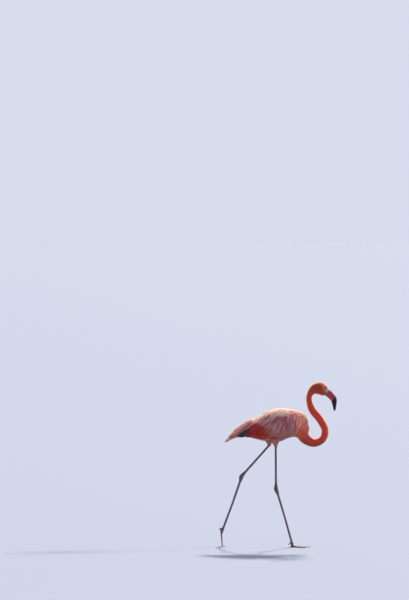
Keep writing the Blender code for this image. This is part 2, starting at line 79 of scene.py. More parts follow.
class Graph:
    def __init__(self, tree):
        self.tree = tree

    def node(self, kind, settings=None, values=None, out=0):
        made = self.tree.nodes.new(kind)
        for key, value in (settings or {}).items():
            setattr(made, key, value)
        for key, value in (values or {}).items():
            self.plug(made.inputs[key], value)
        return Wire(self, made.outputs[out])

    def plug(self, socket, value):
        if isinstance(value, Wire):
            self.tree.links.new(value.socket, socket)
        elif isinstance(value, tuple) and len(value) == 3 and socket.type == "RGBA":
            socket.default_value = (*value, 1)
        else:
            socket.default_value = value

    def axes(self, vector):
        split = self.node("ShaderNodeSeparateXYZ", values={0: vector})
        return [split.other(axis) for axis in "XYZ"]

    def mix(self, factor, first, second, how="MIX"):
        settings = {"data_type": "RGBA", "blend_type": how}
        return self.node("ShaderNodeMix", settings, {0: factor, 6: first, 7: second}, 2)


class Finish(Graph):
    def __init__(self, name, roughness, **fixed):
        self.material = bpy.data.materials.new(name)
        self.material.use_nodes = True
        super().__init__(self.material.node_tree)
        self.set(Roughness=roughness, **fixed)

    def set(self, **values):
        for key, value in values.items():
            self.plug(self.tree.nodes["Principled BSDF"].inputs[key.replace("_", " ")], value)

    def place(self):
        return self.node("ShaderNodeTexCoord", out="Object")

    def noise(self, scale, detail=3.0, stretch=None):
        vector = self.place()
        if stretch:
            vector = self.node("ShaderNodeMapping", values={"Vector": vector, "Scale": stretch})
        return self.node("ShaderNodeTexNoise", values={"Vector": vector, "Scale": scale, "Detail": detail})

    def attribute(self, name, out="Color"):
        return self.node("ShaderNodeAttribute", {"attribute_name": name}, out=out)

    def bump(self, height, strength, distance):
        values = {"Height": height, "Strength": strength, "Distance": distance}
        self.set(Normal=self.node("ShaderNodeBump", values=values))

    def shaded(self, colour, amount, tone):
        # the colour, with this share of it darkened by the tone
        return self.mix(amount, colour, self.mix(1.0, colour, tone, "MULTIPLY"))


# Meshes and pieces

def put(name, data):
    made = bpy.data.objects.new(name, data)
    sceneRoot.objects.link(made)
    return made


def show(name, mesh, slot, finish=None, replaced=(), smooth=False):
    # a visible piece on the body, with its finish and the solids that it replaces; its slot is not used
    if finish:
        mesh.materials.clear()
        mesh.materials.append(finish)
    if smooth:
        mesh.polygons.foreach_set("use_smooth", [True] * len(mesh.polygons))
    mesh.update()
    piece = put(name, mesh)
    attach(piece, "root")
    if replaced:
        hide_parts(*replaced)
    print(name, len(mesh.polygons), "faces")


def meshArrays(mesh):
    points, normals = np.zeros(len(mesh.vertices) * 3), np.zeros(len(mesh.vertices) * 3)
    mesh.vertices.foreach_get("co", points)
    mesh.vertex_normals.foreach_get("vector", normals)
    return points.reshape(-1, 3), normals.reshape(-1, 3)


def putPoints(mesh, points):
    mesh.vertices.foreach_set("co", points.ravel())
    mesh.update()


def setAttribute(mesh, name, values):
    # one number, a vector or a colour for each point, by the width of the values
    values = np.asarray(values, np.float32)
    width = 1 if values.ndim == 1 else values.shape[1]
    kind, field = {1: ("FLOAT", "value"), 3: ("FLOAT_VECTOR", "vector"), 4: ("FLOAT_COLOR", "color")}[width]
    mesh.attributes.new(name, kind, "POINT").data.foreach_set(field, values.ravel())


def meshFrom(name, form):
    mesh = bpy.data.meshes.new(name)
    form.to_mesh(mesh)
    form.free()
    return mesh


def buildMesh(name, points, faces, maps):
    # a smooth mesh with UV maps that are given for each point
    mesh = bpy.data.meshes.new(name)
    mesh.from_pydata(np.asarray(points).tolist(), [], faces)
    corners = np.zeros(len(mesh.loops), int)
    mesh.loops.foreach_get("vertex_index", corners)
    for layer, spots in maps.items():
        mesh.uv_layers.new(name=layer).data.foreach_set("uv", np.asarray(spots)[corners].ravel())
    mesh.polygons.foreach_set("use_smooth", [True] * len(mesh.polygons))
    mesh.update()
    return mesh


def gridCells(rows, cols):
    edge = cols + 1
    return [(a, a + edge, a + edge + 1, a + 1) for row in range(rows) for a in range(row * edge, row * edge + cols)]


def plainMesh(name, holder):
    # what the holder's modifiers give, as a mesh of its own; the holder goes
    bpy.context.view_layer.update()
    ready = holder.evaluated_get(bpy.context.evaluated_depsgraph_get())
    mesh = bpy.data.meshes.new_from_object(ready)
    mesh.name = name
    bpy.data.objects.remove(holder)
    return mesh


def treeOf(mesh):
    points, _ = meshArrays(mesh)
    faces = [tuple(face.vertices) for face in mesh.polygons]
    return BVHTree.FromPolygons([Vector(p) for p in points], faces)


def solidForm(nodeName):
    form = bmesh.new()
    form.from_mesh(solids[nodeName].data)
    bmesh.ops.remove_doubles(form, verts=form.verts, dist=1e-6)
    return form


def runInto(points, neighbour, reach):
    # lengthens a small part away from its tip, so that its root runs into its neighbour
    tree = treeOf(solids[neighbour].data)
    tip = points[np.argmax([tree.find_nearest(Vector(point))[3] for point in points])]
    return tip + (points - tip) * reach


def fuse(name, nodeNames, voxel, swell, joins=None):
    # copies of solids, swollen until they touch, as one closed mesh of small even faces
    whole = bmesh.new()
    for nodeName in nodeNames:
        part = solidForm(nodeName)
        part.normal_update()
        for vertex in part.verts:
            vertex.co += vertex.normal * swell
        loose = meshFrom("loose", part)
        if joins and nodeName in joins:
            putPoints(loose, runInto(meshArrays(loose)[0], *joins[nodeName]))
        whole.from_mesh(loose)
        bpy.data.meshes.remove(loose)
    holder = put(name, meshFrom(name, whole))
    remesh = holder.modifiers.new("fuse", "REMESH")
    remesh.mode, remesh.voxel_size, remesh.adaptivity = "VOXEL", voxel, 0.0
    return plainMesh(name, holder)


def relax(mesh, times):
    # evens out facets and steps, one pass inwards and one outwards, so that nothing shrinks
    points, _ = meshArrays(mesh)
    edges = np.zeros(len(mesh.edges) * 2, int)
    mesh.edges.foreach_get("vertices", edges)
    a, b = edges.reshape(-1, 2).T
    count = np.bincount(np.concatenate([a, b]), minlength=len(points))[:, None]
    for strength in (0.5, -0.53) * times:
        total = np.stack([np.bincount(a, axis[b], len(axis)) + np.bincount(b, axis[a], len(axis))
                          for axis in points.T], 1)
        points += (total / count - points) * strength
    putPoints(mesh, points)


def smoothFlesh(name, nodeNames, plan, joins=None):
    # the fused and smoothed solids, with the points and normals that they end up with
    mesh = fuse(name, nodeNames, plan["voxel"], plan["swell"], joins)
    relax(mesh, plan["smooth"])
    return mesh, *meshArrays(mesh)


# Numbers and vectors

def unit(vectors, least=0.0):
    return vectors / (np.linalg.norm(vectors, axis=-1, keepdims=True) + least)


def step01(value, low, high):
    # a smooth step from zero at low to one at high
    t = np.clip((value - low) / (high - low), 0, 1)
    return t * t * (3 - 2 * t)


def share(fields, rules):
    # the product of soft steps, each a field's name with its low and high, or of whole fields by name
    amount = 1.0
    for rule in rules:
        amount = amount * (fields[rule] if isinstance(rule, str) else step01(fields[rule[0]], *rule[1:]))
    return amount


def toward(colour, goal, amount):
    return colour + (np.array(goal) - colour) * amount


# Camera, floor and light

view = {"distance": 20.0, "height": 1.96, "across": -0.4016, "pitch": 1.726, "lens": 219.0, "farthest": 300}
studio = {"floor": (0.178, 0.2145, 0.307), "floorHalf": 120, "sky": (0.496, 0.533, 0.620),
          "haze": (0.677, 0.716, 0.842), "hazeFrom": (0.86, 0.97), "sun": (1.0, 0.90, 0.76), "sunSoft": 0.12,
          "suns": {"sunBehind": (6.9, (0.30, 1.0, 1.25)), "sunAhead": (3.2, (1.0, 0.25, 0.55))}}


def makeStudio():
    camera = put("camera", bpy.data.cameras.new("camera"))
    camera.data.lens = view["lens"]
    camera.data.clip_end = view["farthest"]
    camera.location = (view["across"], -view["distance"], view["height"])
    camera.rotation_euler = (math.radians(90 - view["pitch"]), 0, 0)
    bpy.context.scene.camera = camera
    bpy.context.scene.view_settings.view_transform = "Standard"

    half = studio["floorHalf"]
    corners = [(-half, -half, 0), (half, -half, 0), (half, half, 0), (-half, half, 0)]
    mesh = buildMesh("floor", corners, [(0, 1, 2, 3)], {})
    mesh.materials.append(Finish("floorPaint", 0.9, Base_Color=studio["floor"]).material)
    put("floor", mesh)

    # an even sky, paler in the sun's own quarter, where it meets the floor without an edge
    world = bpy.data.worlds.new("sky")
    world.use_nodes = True
    sky = Graph(world.node_tree)
    _, toSun, _ = sky.axes(sky.node("ShaderNodeTexCoord", out="Generated"))
    tone = sky.mix(toSun.ramp(*studio["hazeFrom"]), studio["sky"], studio["haze"])
    sky.plug(sky.tree.nodes["Background"].inputs["Color"], tone)
    bpy.context.scene.world = world
    for name, (level, comesFrom) in studio["suns"].items():
        lamp = put(name, bpy.data.lights.new(name, "SUN"))
        lamp.data.energy, lamp.data.angle, lamp.data.color = level, studio["sunSoft"], studio["sun"]
        lamp.rotation_euler = Vector(comesFrom).to_track_quat("Z", "Y").to_euler()


makeStudio()
print("studio ready")


# The line that the whole form follows, from the bill's root over the neck to the tail; its rows are
# the stops that the fields below count: x, z and the form's mean reach

line = {
    "billRoot": (0.352, 0.855, 0.025), "brow": (0.335, 0.862, 0.030), "crown": (0.315, 0.870, 0.033),
    "occiput": (0.293, 0.871, 0.028), "nape": (0.2735, 0.861, 0.022), "neckTop": (0.261, 0.840, 0.017),
    "neckThin": (0.2565, 0.814, 0.016), "neckBack": (0.2735, 0.757, 0.020), "neckMid": (0.315, 0.702, 0.021),
    "neckFront": (0.3445, 0.643, 0.021), "neckTurn": (0.3345, 0.594, 0.021), "neckLow": (0.286, 0.571, 0.023),
    "neckRoot": (0.236, 0.598, 0.031), "breastTip": (0.214, 0.620, 0.047), "breast": (0.187, 0.642, 0.070),
    "shoulder": (0.148, 0.661, 0.084), "chest": (0.099, 0.671, 0.088), "middle": (0.044, 0.669, 0.078),
    "flank": (-0.011, 0.658, 0.065), "rump": (-0.066, 0.643, 0.046), "tailRoot": (-0.110, 0.628, 0.028),
    "tailMid": (-0.154, 0.608, 0.016), "tailTip": (-0.205, 0.5745, 0.006),
}
lineSteps, lineBlend, eyeX = 441, 0.0035, 0.3338          # points traced, softness of the stops, the eye's own x
eyeLow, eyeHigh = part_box("eye_right")
eyeCentre = (np.array(eyeLow) + np.array(eyeHigh)) / 2
shift = float(eyeCentre[0]) - eyeX          # from the line's own x to the frame's x


def smoothLine(rows, count):
    step = np.sqrt(np.linalg.norm(np.diff(rows[:, :2], axis=0), axis=1))
    slope = np.diff(rows, axis=0) / step[:, None]
    inner = (slope[:-1] * step[1:, None] + slope[1:] * step[:-1, None]) / (step[:-1] + step[1:])[:, None]
    lean = np.vstack([slope[:1], inner, slope[-1:]])
    along = np.linspace(0, len(rows) - 1, count)
    i = np.minimum(along.astype(int), len(rows) - 2)
    t, h = (along - i)[:, None], step[i][:, None]
    value = ((2 * t**3 - 3 * t**2 + 1) * rows[i] + (t**3 - 2 * t**2 + t) * h * lean[i]
             + (3 * t**2 - 2 * t**3) * rows[i + 1] + (t**3 - t**2) * h * lean[i + 1])
    return value, along


traced, tracedStop = smoothLine(np.array(list(line.values())), lineSteps)
traced[:, 0] += shift
tracedWay = unit(np.gradient(traced[:, :2], axis=0))
tracedLength = np.concatenate([[0], np.cumsum(np.linalg.norm(np.diff(traced[:, :2], axis=0), axis=1))])


def fieldsAt(points):
    # for places on the bird: how far along the line, how far round it, and the way to the tail
    count = len(points)
    found = {name: np.zeros(count) for name in ("stop", "length", "cos", "sin")}
    found["way"] = np.zeros((count, 3))
    for start in range(0, count, 8000):
        rows = slice(start, min(start + 8000, count))
        part = points[rows]
        gap = np.sqrt((part[:, None, 0] - traced[None, :, 0])**2 + (part[:, None, 2] - traced[None, :, 1])**2
                      + part[:, None, 1]**2) - traced[None, :, 2]
        weight = np.exp(-(gap - gap.min(1)[:, None]) / lineBlend)
        weight /= weight.sum(1)[:, None]
        way = unit(weight @ tracedWay)
        centre = weight @ traced[:, :2]
        up = (part[:, 0] - centre[:, 0]) * way[:, 1] - (part[:, 2] - centre[:, 1]) * way[:, 0]
        far = np.sqrt(up**2 + part[:, 1]**2) + 1e-9
        found["stop"][rows] = weight @ tracedStop
        found["length"][rows] = weight @ tracedLength / tracedLength[-1]
        found["cos"][rows], found["sin"][rows] = up / far, part[:, 1] / far
        found["way"][rows, 0], found["way"][rows, 2] = way[:, 0], way[:, 1]
    found["angle"] = np.degrees(np.arccos(np.clip(found["cos"], -1, 1)))
    return found


# Skin: one closed surface over all the flesh, sunk below the solids by the coat's depth

skinPlan = {"voxel": 0.0022, "swell": 0.0016, "smooth": 8, "smoothLast": 3,
            "depthStops": (0, 3, 5, 9, 12, 14, 17, 18, 19, 20, 21, 22),
            "depthMm": (0.9, 1.1, 1.4, 1.6, 1.9, 2.1, 2.3, 2.3, 2.2, 2.0, 1.6, 0.9),
            "thighDepth": 0.0008, "thighTop": 0.63, "thighSoft": 0.009, "frontReach": 0.0040}
fleshNodes = ["head", "neck_upper", "neck_middle", "neck_loop", "neck_base", "trunk", "tail"]
fleshNodes += [f"{part}_{side}" for part in ("wing_coverts", "wing_tertials", "wing_primaries", "thigh")
               for side in sides]
thighTrees, trunkTrees = ([treeOf(solids[name].data) for name in names] for names in (
    ("thigh_right", "thigh_left"), ("trunk", "tail", "wing_coverts_right", "wing_coverts_left")))


def thighShare(points):
    # one on the legs' own feathers, falling to zero where they meet the belly
    low = np.flatnonzero(points[:, 2] < skinPlan["thighTop"])
    amount = np.zeros(len(points))
    toThigh, toTrunk = (np.array([min(tree.find_nearest(Vector(points[i]))[3] for tree in trees) for i in low])
                        for trees in (thighTrees, trunkTrees))
    amount[low] = step01(toTrunk - toThigh, 0.0, skinPlan["thighSoft"])
    return amount


def makeSkin():
    mesh, points, normals = smoothFlesh("skin", fleshNodes, skinPlan)
    fields = fieldsAt(points)
    depth = np.interp(fields["stop"], skinPlan["depthStops"], skinPlan["depthMm"]) / 1000
    thigh = thighShare(points)
    depth = depth * (1 - thigh) + skinPlan["thighDepth"] * thigh
    points = points - normals * (depth + skinPlan["swell"])[:, None]
    # the front runs on into the bill's root
    front = step01(-(normals * fields["way"]).sum(1), 0.25, 0.75) * step01(fields["stop"], 0.7, 0.2)
    putPoints(mesh, points - fields["way"] * (skinPlan["frontReach"] * front)[:, None])
    relax(mesh, skinPlan["smoothLast"])
    return mesh


skinMesh = makeSkin()
print("skin made:", len(skinMesh.polygons), "faces")


# Markings: one set of rules for the skin and for every feather that grows from it

plumage = {
    # head: darker than the neck, as painted shade of the face
    "neck": (0.64, 0.058, 0.027), "head": (0.44, 0.044, 0.026), "chest": (0.66, 0.100, 0.045),
    # loop: darker than the neck, as painted shade of the neck's bend
    "loop": (0.50, 0.040, 0.021), "lore": (0.40, 0.20, 0.075), "bare": (0.56, 0.40, 0.47),
    # edge: paler orange, painted rim light along the crown, the nape and the throat
    "bareLow": (0.42, 0.17, 0.16), "edge": (0.90, 0.30, 0.21), "breastFront": (0.80, 0.18, 0.09),
    # back: pale salmon, partly the bird's own colour and partly painted sunlight on its top
    "back": (0.92, 0.60, 0.49), "shoulder": (0.93, 0.48, 0.35), "rose": (0.40, 0.15, 0.16),
    "roseFront": (0.48, 0.14, 0.12), "red": (0.44, 0.020, 0.010), "belly": (0.66, 0.24, 0.185),
    "thigh": (0.46, 0.19, 0.155), "tailTop": (0.95, 0.52, 0.42), "tailSide": (0.40, 0.17, 0.17),
    "underTail": (0.88, 0.68, 0.70),
}
# laid over the neck's colour in this order, each where its rules say: a field with its low and high
markings = [
    # the head darker than the neck: painted shade
    ("head", [("stop", 4.5, 2.8)]),
    # painted rim light, paler along the midlines of the head and neck
    ("edge", ["midline", ("stop", 0.8, 1.6)]),
    ("lore", [("stop", 1.5, 0.8), ("angle", 120, 92), ("angle", 25, 50)]),
    ("bare", [("stop", 0.72, 0.45), ("angle", 112, 88)]),
    ("bareLow", [("stop", 0.72, 0.45), ("angle", 88, 112)]),
    # the loop of the neck darker: painted shade
    ("loop", [("stop", 9.5, 11), ("angle", 70, 120)]),
    ("chest", [("stop", 12.2, 13.6)]),
    ("breastFront", [("stop", 12.6, 13.4), ("stop", 15.0, 14.3), ("angle", 75, 30)]),
    ("belly", [("stop", 13.8, 15.5), ("angle", 95, 125)]),
    ("red", [("stop", 15.6, 16.2), ("stop", 19.7, 19.1), ("angle", 30, 62)]),
    ("belly", [("stop", 15.8, 16.4), ("angle", 150, 166)]),
    ("rose", ["wing"]),
    ("roseFront", ["wing", ("x", 0.05, 0.12)]),
    ("shoulder", ["upper", ("stop", 15.6, 14.8)]),
    # the pale back band: partly painted sunlight along the top
    ("back", ["back"]),
    ("tailSide", [("stop", 18.8, 19.6), ("angle", 105, 88)]),
    ("tailTop", [("stop", 19.0, 20.2), ("angle", 66, 46)]),
    ("underTail", [("stop", 19.6, 20.6), ("angle", 120, 145)]),
    ("thigh", ["thigh"]),
]


def roseLine(x):
    # the lower edge of the long rose plumes on the flank, as a height for each x
    return np.interp(x, (-0.084, -0.056, -0.029, -0.002, 0.026, 0.042, 0.059, 0.080, 0.113, 0.185, 0.206, 0.230),
                     (0.662, 0.669, 0.682, 0.688, 0.674, 0.657, 0.633, 0.606, 0.589, 0.592, 0.648, 0.700))


def paintAt(points, fields):
    x, z = points[:, 0] - shift, points[:, 2]
    stop, angle = fields["stop"], fields["angle"]
    # painted rim light: paler along the middle of the crown, the nape and the throat, standing for the sunlit,
    # see-through fringe of the outline
    midline = 0.85 * np.maximum(step01(angle, 38, 14), 0.8 * step01(angle, 146, 168))
    wing = step01(z - roseLine(x), -0.008, 0.010) * step01(stop, 13.5, 14.1) * step01(stop, 19.3, 18.3)
    upper = step01(angle - np.interp(stop, (13.9, 14.8, 15.8), (30, 26, 68)), 0, -18) * step01(stop, 13.4, 14.0)
    # the back band along the top, pale partly by painted sunlight
    back = upper * step01(stop, 14.6, 15.6) + step01(angle, 78, 40) * step01(stop, 18.4, 19.4)
    here = {**fields, "x": x, "midline": midline, "wing": wing, "upper": upper, "back": back,
            "thigh": thighShare(points)}
    colours = np.tile(np.array(plumage["neck"]), (len(points), 1))
    for name, rules in markings:
        colours = toward(colours, plumage[name], np.clip(share(here, rules), 0, 1)[:, None])
    return colours


# The lie of the coat: back along the line, sweeping down over the flank, straight down on the thighs

def lieAt(points, normals, fields):
    droop = np.interp(points[:, 0] - shift, (-0.20, -0.10, -0.03, 0.05, 0.12, 0.16, 0.20, 0.24),
                      (6, 12, 30, 50, 68, 82, 86, 60))
    droop = droop * share(fields, [("stop", 13.4, 14.6), ("angle", 12, 50), ("angle", 150, 118)])
    droop = np.radians(droop)[:, None]
    down = np.array((0.0, 0.0, -1.0))
    lie = fields["way"] * np.cos(droop) + down * np.sin(droop)
    thigh = thighShare(points)[:, None]
    lie = lie * (1 - thigh) + down * thigh
    lie -= normals * (lie * normals).sum(1)[:, None]
    return unit(lie, 1e-9)


def solidColour(colours):
    return np.c_[colours, np.ones(len(colours))]


skinPoints, skinNormals = meshArrays(skinMesh)
skinFields = fieldsAt(skinPoints)
skinLie = lieAt(skinPoints, skinNormals, skinFields)
skinTree = treeOf(skinMesh)
setAttribute(skinMesh, "tint", solidColour(paintAt(skinPoints, skinFields)))
print("markings and lie of the coat laid out")


# Finishes of skin and feathers: every feather's soft edge catches warm light, and shines little

downy = {"Specular_IOR_Level": 0.16, "Sheen_Weight": 1.0, "Sheen_Roughness": 0.45, "Sheen_Tint": (1.0, 0.70, 0.60)}


class VaneFinish(Finish):
    # knows each feather's own number, how far along its vane a place is and how far off its shaft
    def __init__(self, name, roughness, sheen=1.0):
        super().__init__(name, roughness, **{**downy, "Sheen_Weight": sheen})
        self.quill = self.attribute("quill", "Fac")
        self.along, across, _ = self.axes(self.node("ShaderNodeUVMap", {"uv_map": "vaneUv"}))
        self.off = (across - 0.5).size() * 2

    def tinted(self, low, more, patchy, patchyLow, patchyMore):
        # the root's colour, with a level of its own for each feather and patches along it
        level = (low + more * self.quill) * (patchyLow + patchyMore * patchy)
        grey = self.node("ShaderNodeCombineColor", values={0: level, 1: level, 2: level})
        return self.mix(1.0, self.attribute("tint"), grey, "MULTIPLY")


def plumageFinish(name):
    # small feathers: a shaft, fine barbs, a darker root and a paler tip; the tip is partly the feathers' own paler
    # fringe and partly painted light through their thin edges
    finish = VaneFinish(name, 0.7)
    along, off = finish.along, finish.off
    barb = ((along * 260.0 - off * 57.2).sine() * 0.5 + 0.5) * 0.5
    patchy = finish.noise(55.0, 4.0)
    colour = finish.tinted(0.80, 0.34, patchy, 0.86, 0.28)
    dark = finish.mix(1.0, colour, (0.62, 0.36, 0.34), "MULTIPLY")
    colour = finish.mix(0.35 * (1 - along.ramp(0.05, 0.55)), colour, dark)
    colour = finish.mix(barb * 0.22, colour, dark)
    pale = finish.mix(0.30, colour, (0.98, 0.50, 0.38))
    # the paler tip: partly the feathers' own fringe, partly painted light showing through the thin edges
    colour = finish.mix(along.ramp(0.72, 1.0) * 0.45, colour, pale)
    finish.set(Base_Color=finish.mix(off.ramp(0.10, 0.02) * 0.35, colour, pale))
    finish.bump(barb + patchy * 0.4, 0.35, 0.0004)
    return finish.material


def plumeFinish(name, dark, paleShaft, edge):
    # loose barbed plumes: pale along the shaft, stained darker between the barbs and at the root
    finish = VaneFinish(name, 0.68)
    quill, along, off = finish.quill, finish.along, finish.off
    barb = ((along * 300.0 - off * 60.0 + finish.noise(160.0, 2.0) * 9.0).sine() * 0.5 + 0.5)
    colour = finish.tinted(0.78, 0.36, finish.noise(70.0, 4.0), 0.88, 0.24)
    stain = off.ramp(0.45, 1.0) * edge * (0.4 + 0.6 * quill) + along.ramp(0.40, 0.0) * 0.5
    colour = finish.mix(stain, colour, dark)
    colour = finish.mix(barb * 0.16, colour, dark)
    pale = finish.mix(0.5, colour, paleShaft)
    finish.set(Base_Color=finish.mix(off.ramp(0.10, 0.0) * 0.5 + along.ramp(0.80, 1.0) * 0.25, colour, pale))
    finish.bump(barb, 0.35, 0.0003)
    return finish.material


def firmFinish(name, dark, paleShaft, roughness=0.55, sheen=0.15):
    # long firm vanes: fine slanting barbs, a pale shaft
    finish = VaneFinish(name, roughness, sheen)
    off = finish.off
    barb = (finish.along * 700.0 - off * 90.0).sine() * 0.5 + 0.5
    colour = finish.tinted(0.85, 0.22, finish.noise(60.0, 3.0), 0.9, 0.2)
    colour = finish.mix(barb * 0.14 + off.ramp(0.7, 1.0) * 0.25, colour, dark)
    finish.set(Base_Color=finish.mix(off.ramp(0.07, 0.02) * 0.55, colour, paleShaft))
    finish.bump(barb, 0.25, 0.0002)
    return finish.material


def skinFinish():
    finish = Finish("skinFinish", 0.75, Specular_IOR_Level=0.16)
    fine = finish.noise(420.0, 5.0)
    finish.set(Base_Color=finish.shaded(finish.attribute("tint"), fine.ramp(0.35, 0.75) * 0.6, (0.5, 0.34, 0.34)))
    finish.bump(fine, 0.5, 0.0008)
    return finish.material


# Vanes: small blades with a root at the origin, lying along +X and one unit long and wide

def makeVane(name, rows, shape, camber=0.20, curl=-0.20, ragged=0.08):
    rng = np.random.default_rng(3)
    points, spots, cols = [], [], 2
    for i in range(rows + 1):
        t = i / rows
        for j in range(cols + 1):
            c = 2 * j / cols - 1
            back = ragged * rng.uniform(0, 1) if i == rows else 0.0
            half = 0.5 * shape(min(t, 0.985)) * (1 - 2.2 * ragged * rng.uniform(0, 1) * abs(c))
            points.append((t - back - 0.10 * (c * c) * t, half * c, -camber * c * c * half * 2 + curl * t * t))
            spots.append((t, 0.5 + 0.5 * c))
    return bpy.data.objects.new(name, buildMesh(name, points, gridCells(rows, cols), {"vaneUv": spots}))


def roundVane(t):
    return min(1.0, 0.30 + 1.6 * t) * math.sqrt(max(1 - max((t - 0.60) / 0.40, 0)**2, 0.02))


def lanceVane(t):
    return min(1.0, 0.25 + 2.2 * t) * max(1 - max((t - 0.45) / 0.55, 0)**1.6, 0.10)


# One Geometry Nodes tree plants every small feather

bakeReach, bakePatch = 0.996, 0.003        # OFBake: how much of the map the roots take, and each feather's patch


def coatTree():
    tree = bpy.data.node_groups.new("coat", "GeometryNodeTree")
    plant = Graph(tree)
    sockets = {"Skin": "Geometry", "Vane": "Object", "Spacing": "Float", "Density": "Float", "Seed": "Int",
               "Turn": "Float", "Length Spread": "Float", "Sink": "Float", "Finish": "Material"}
    for name, kind in sockets.items():
        tree.interface.new_socket(name, in_out="INPUT", socket_type="NodeSocket" + kind)
    tree.interface.new_socket("Coat", in_out="OUTPUT", socket_type="NodeSocketGeometry")
    given = plant.node("NodeGroupInput").other

    def named(name, kind="FLOAT"):
        return plant.node("GeometryNodeInputNamedAttribute", {"data_type": kind}, {"Name": name}, "Attribute")

    def random(low, seed):
        values = {2: low, 3: 1.0, "Seed": given("Seed") + seed}
        return plant.node("FunctionNodeRandomValue", {"data_type": "FLOAT"}, values, 1)

    def vector(**axes):
        return plant.node("ShaderNodeCombineXYZ", values=axes)

    def scaled(value, factor):
        return plant.node("ShaderNodeVectorMath", {"operation": "SCALE"}, {0: value, "Scale": factor})

    scatter = plant.node("GeometryNodeDistributePointsOnFaces", {"distribute_method": "POISSON"}, {
        "Mesh": given("Skin"), "Distance Min": given("Spacing"), "Density Max": given("Density"),
        "Density Factor": named("cover"), "Seed": given("Seed")})
    normal = scatter.other("Normal")
    quilled = plant.node("GeometryNodeStoreNamedAttribute", {"data_type": "FLOAT", "domain": "POINT"},
                         {"Geometry": scatter, "Name": "quill", "Value": random(0.0, 11.0)})
    sunk = plant.node("GeometryNodeSetPosition", values={
        "Geometry": quilled, "Offset": scaled(normal, given("Sink") * -1.0)})
    facing = plant.node("FunctionNodeAxesToRotation", {"primary_axis": "Z", "secondary_axis": "X"},
                        {"Primary Axis": normal, "Secondary Axis": named("lie", "FLOAT_VECTOR")})
    tilt = vector(Y=named("lift") * -1.0, Z=random(-1.0, 23.0) * given("Turn"))
    turned = plant.node("FunctionNodeRotateRotation", {"rotation_space": "LOCAL"}, {
        "Rotation": facing, "Rotate By": plant.node("FunctionNodeEulerToRotation", values={0: tilt})})
    grown = 1.0 + random(-1.0, 11.0) * given("Length Spread")
    size = vector(X=named("long") * grown, Y=named("wide"), Z=named("wide"))
    vane = plant.node("GeometryNodeObjectInfo", {"transform_space": "ORIGINAL"},
                      {"Object": given("Vane")}, "Geometry")
    planted = plant.node("GeometryNodeInstanceOnPoints", values={
        "Points": sunk, "Instance": vane, "Rotation": turned, "Scale": size})
    real = plant.node("GeometryNodeRealizeInstances", values={"Geometry": planted})
    cosine, sine, _ = plant.axes(named("around", "FLOAT_VECTOR"))
    turnShare = sine.math("ARCTAN2", sine, cosine) / (2 * math.pi)
    root = vector(X=named("length") * bakeReach, Y=(turnShare + 0.5) * bakeReach)
    spot = plant.node("ShaderNodeVectorMath", {"operation": "ADD"},
                      {0: root, 1: scaled(named("vaneUv", "FLOAT_VECTOR"), bakePatch)})
    mapped = plant.node("GeometryNodeStoreNamedAttribute", {"data_type": "FLOAT2", "domain": "CORNER"},
                        {"Geometry": real, "Name": "OFBake", "Value": spot})
    dressed = plant.node("GeometryNodeSetMaterial", values={"Geometry": mapped, "Material": given("Finish")})
    plant.plug(tree.nodes.new("NodeGroupOutput").inputs[0], dressed)
    return tree


coat = coatTree()


def growCoat(name, plan, fields, finish):
    # feathers over the skin where the cover is above zero; sizes in metres, lift in radians
    mesh = skinMesh.copy()
    around = np.c_[skinFields["cos"], skinFields["sin"], np.zeros(len(skinPoints))]
    fields = {**fields, "lie": skinLie, "length": skinFields["length"], "around": around}
    for field, values in fields.items():
        setAttribute(mesh, field, values)
    holder = put(name, mesh)
    grower = holder.modifiers.new("coat", "NODES")
    grower.node_group = coat
    values = {"Vane": smallVanes[plan["vane"]], "Spacing": plan["spacing"], "Density": 1.4 / plan["spacing"]**2,
              "Seed": plan["seed"], "Turn": math.radians(plan["turn"]), "Length Spread": plan["spread"],
              "Sink": plan["sink"], "Finish": finish}
    for item in coat.interface.items_tree:
        if item.item_type == "SOCKET" and item.in_out == "INPUT" and item.name in values:
            grower[item.identifier] = values[item.name]
    made = plainMesh(name, holder)
    bpy.data.meshes.remove(mesh)
    for field in fields:
        if field in made.attributes:
            made.attributes.remove(made.attributes[field])
    show(name, made, plan["slot"])


# Small feathers: a fine coat over the whole skin, planted by the nodes above

smallVanes = {
    "face": makeVane("faceVane", 3, roundVane, curl=-0.10, ragged=0.0),
    "neck": makeVane("neckVane", 4, roundVane, camber=0.22, curl=-0.12, ragged=0.06),
    "body": makeVane("bodyVane", 5, lanceVane),
    "thigh": makeVane("thighVane", 4, lanceVane),
}
sizes = {"stops": (0, 1.5, 3, 4.5, 7, 10, 12, 13, 14.5, 16.5, 18.5, 20, 22),
         "longMm": (2.8, 3.4, 4.6, 6.2, 7.5, 8.5, 9.5, 11, 14, 17, 18, 17, 12),
         "wideMm": (1.5, 1.8, 2.2, 2.7, 3.0, 3.3, 3.7, 4.2, 5.0, 5.8, 6.2, 5.8, 4.6),
         "layMore": 0.03, "liftMost": 0.36}
neckCoat = {"vane": "neck", "turn": 9, "spread": 0.18, "sink": 0.0004, "slot": "red_plumage"}
bodyCoat = {"vane": "body", "turn": 10, "spread": 0.18, "sink": 0.0006, "slot": "body_plumage"}
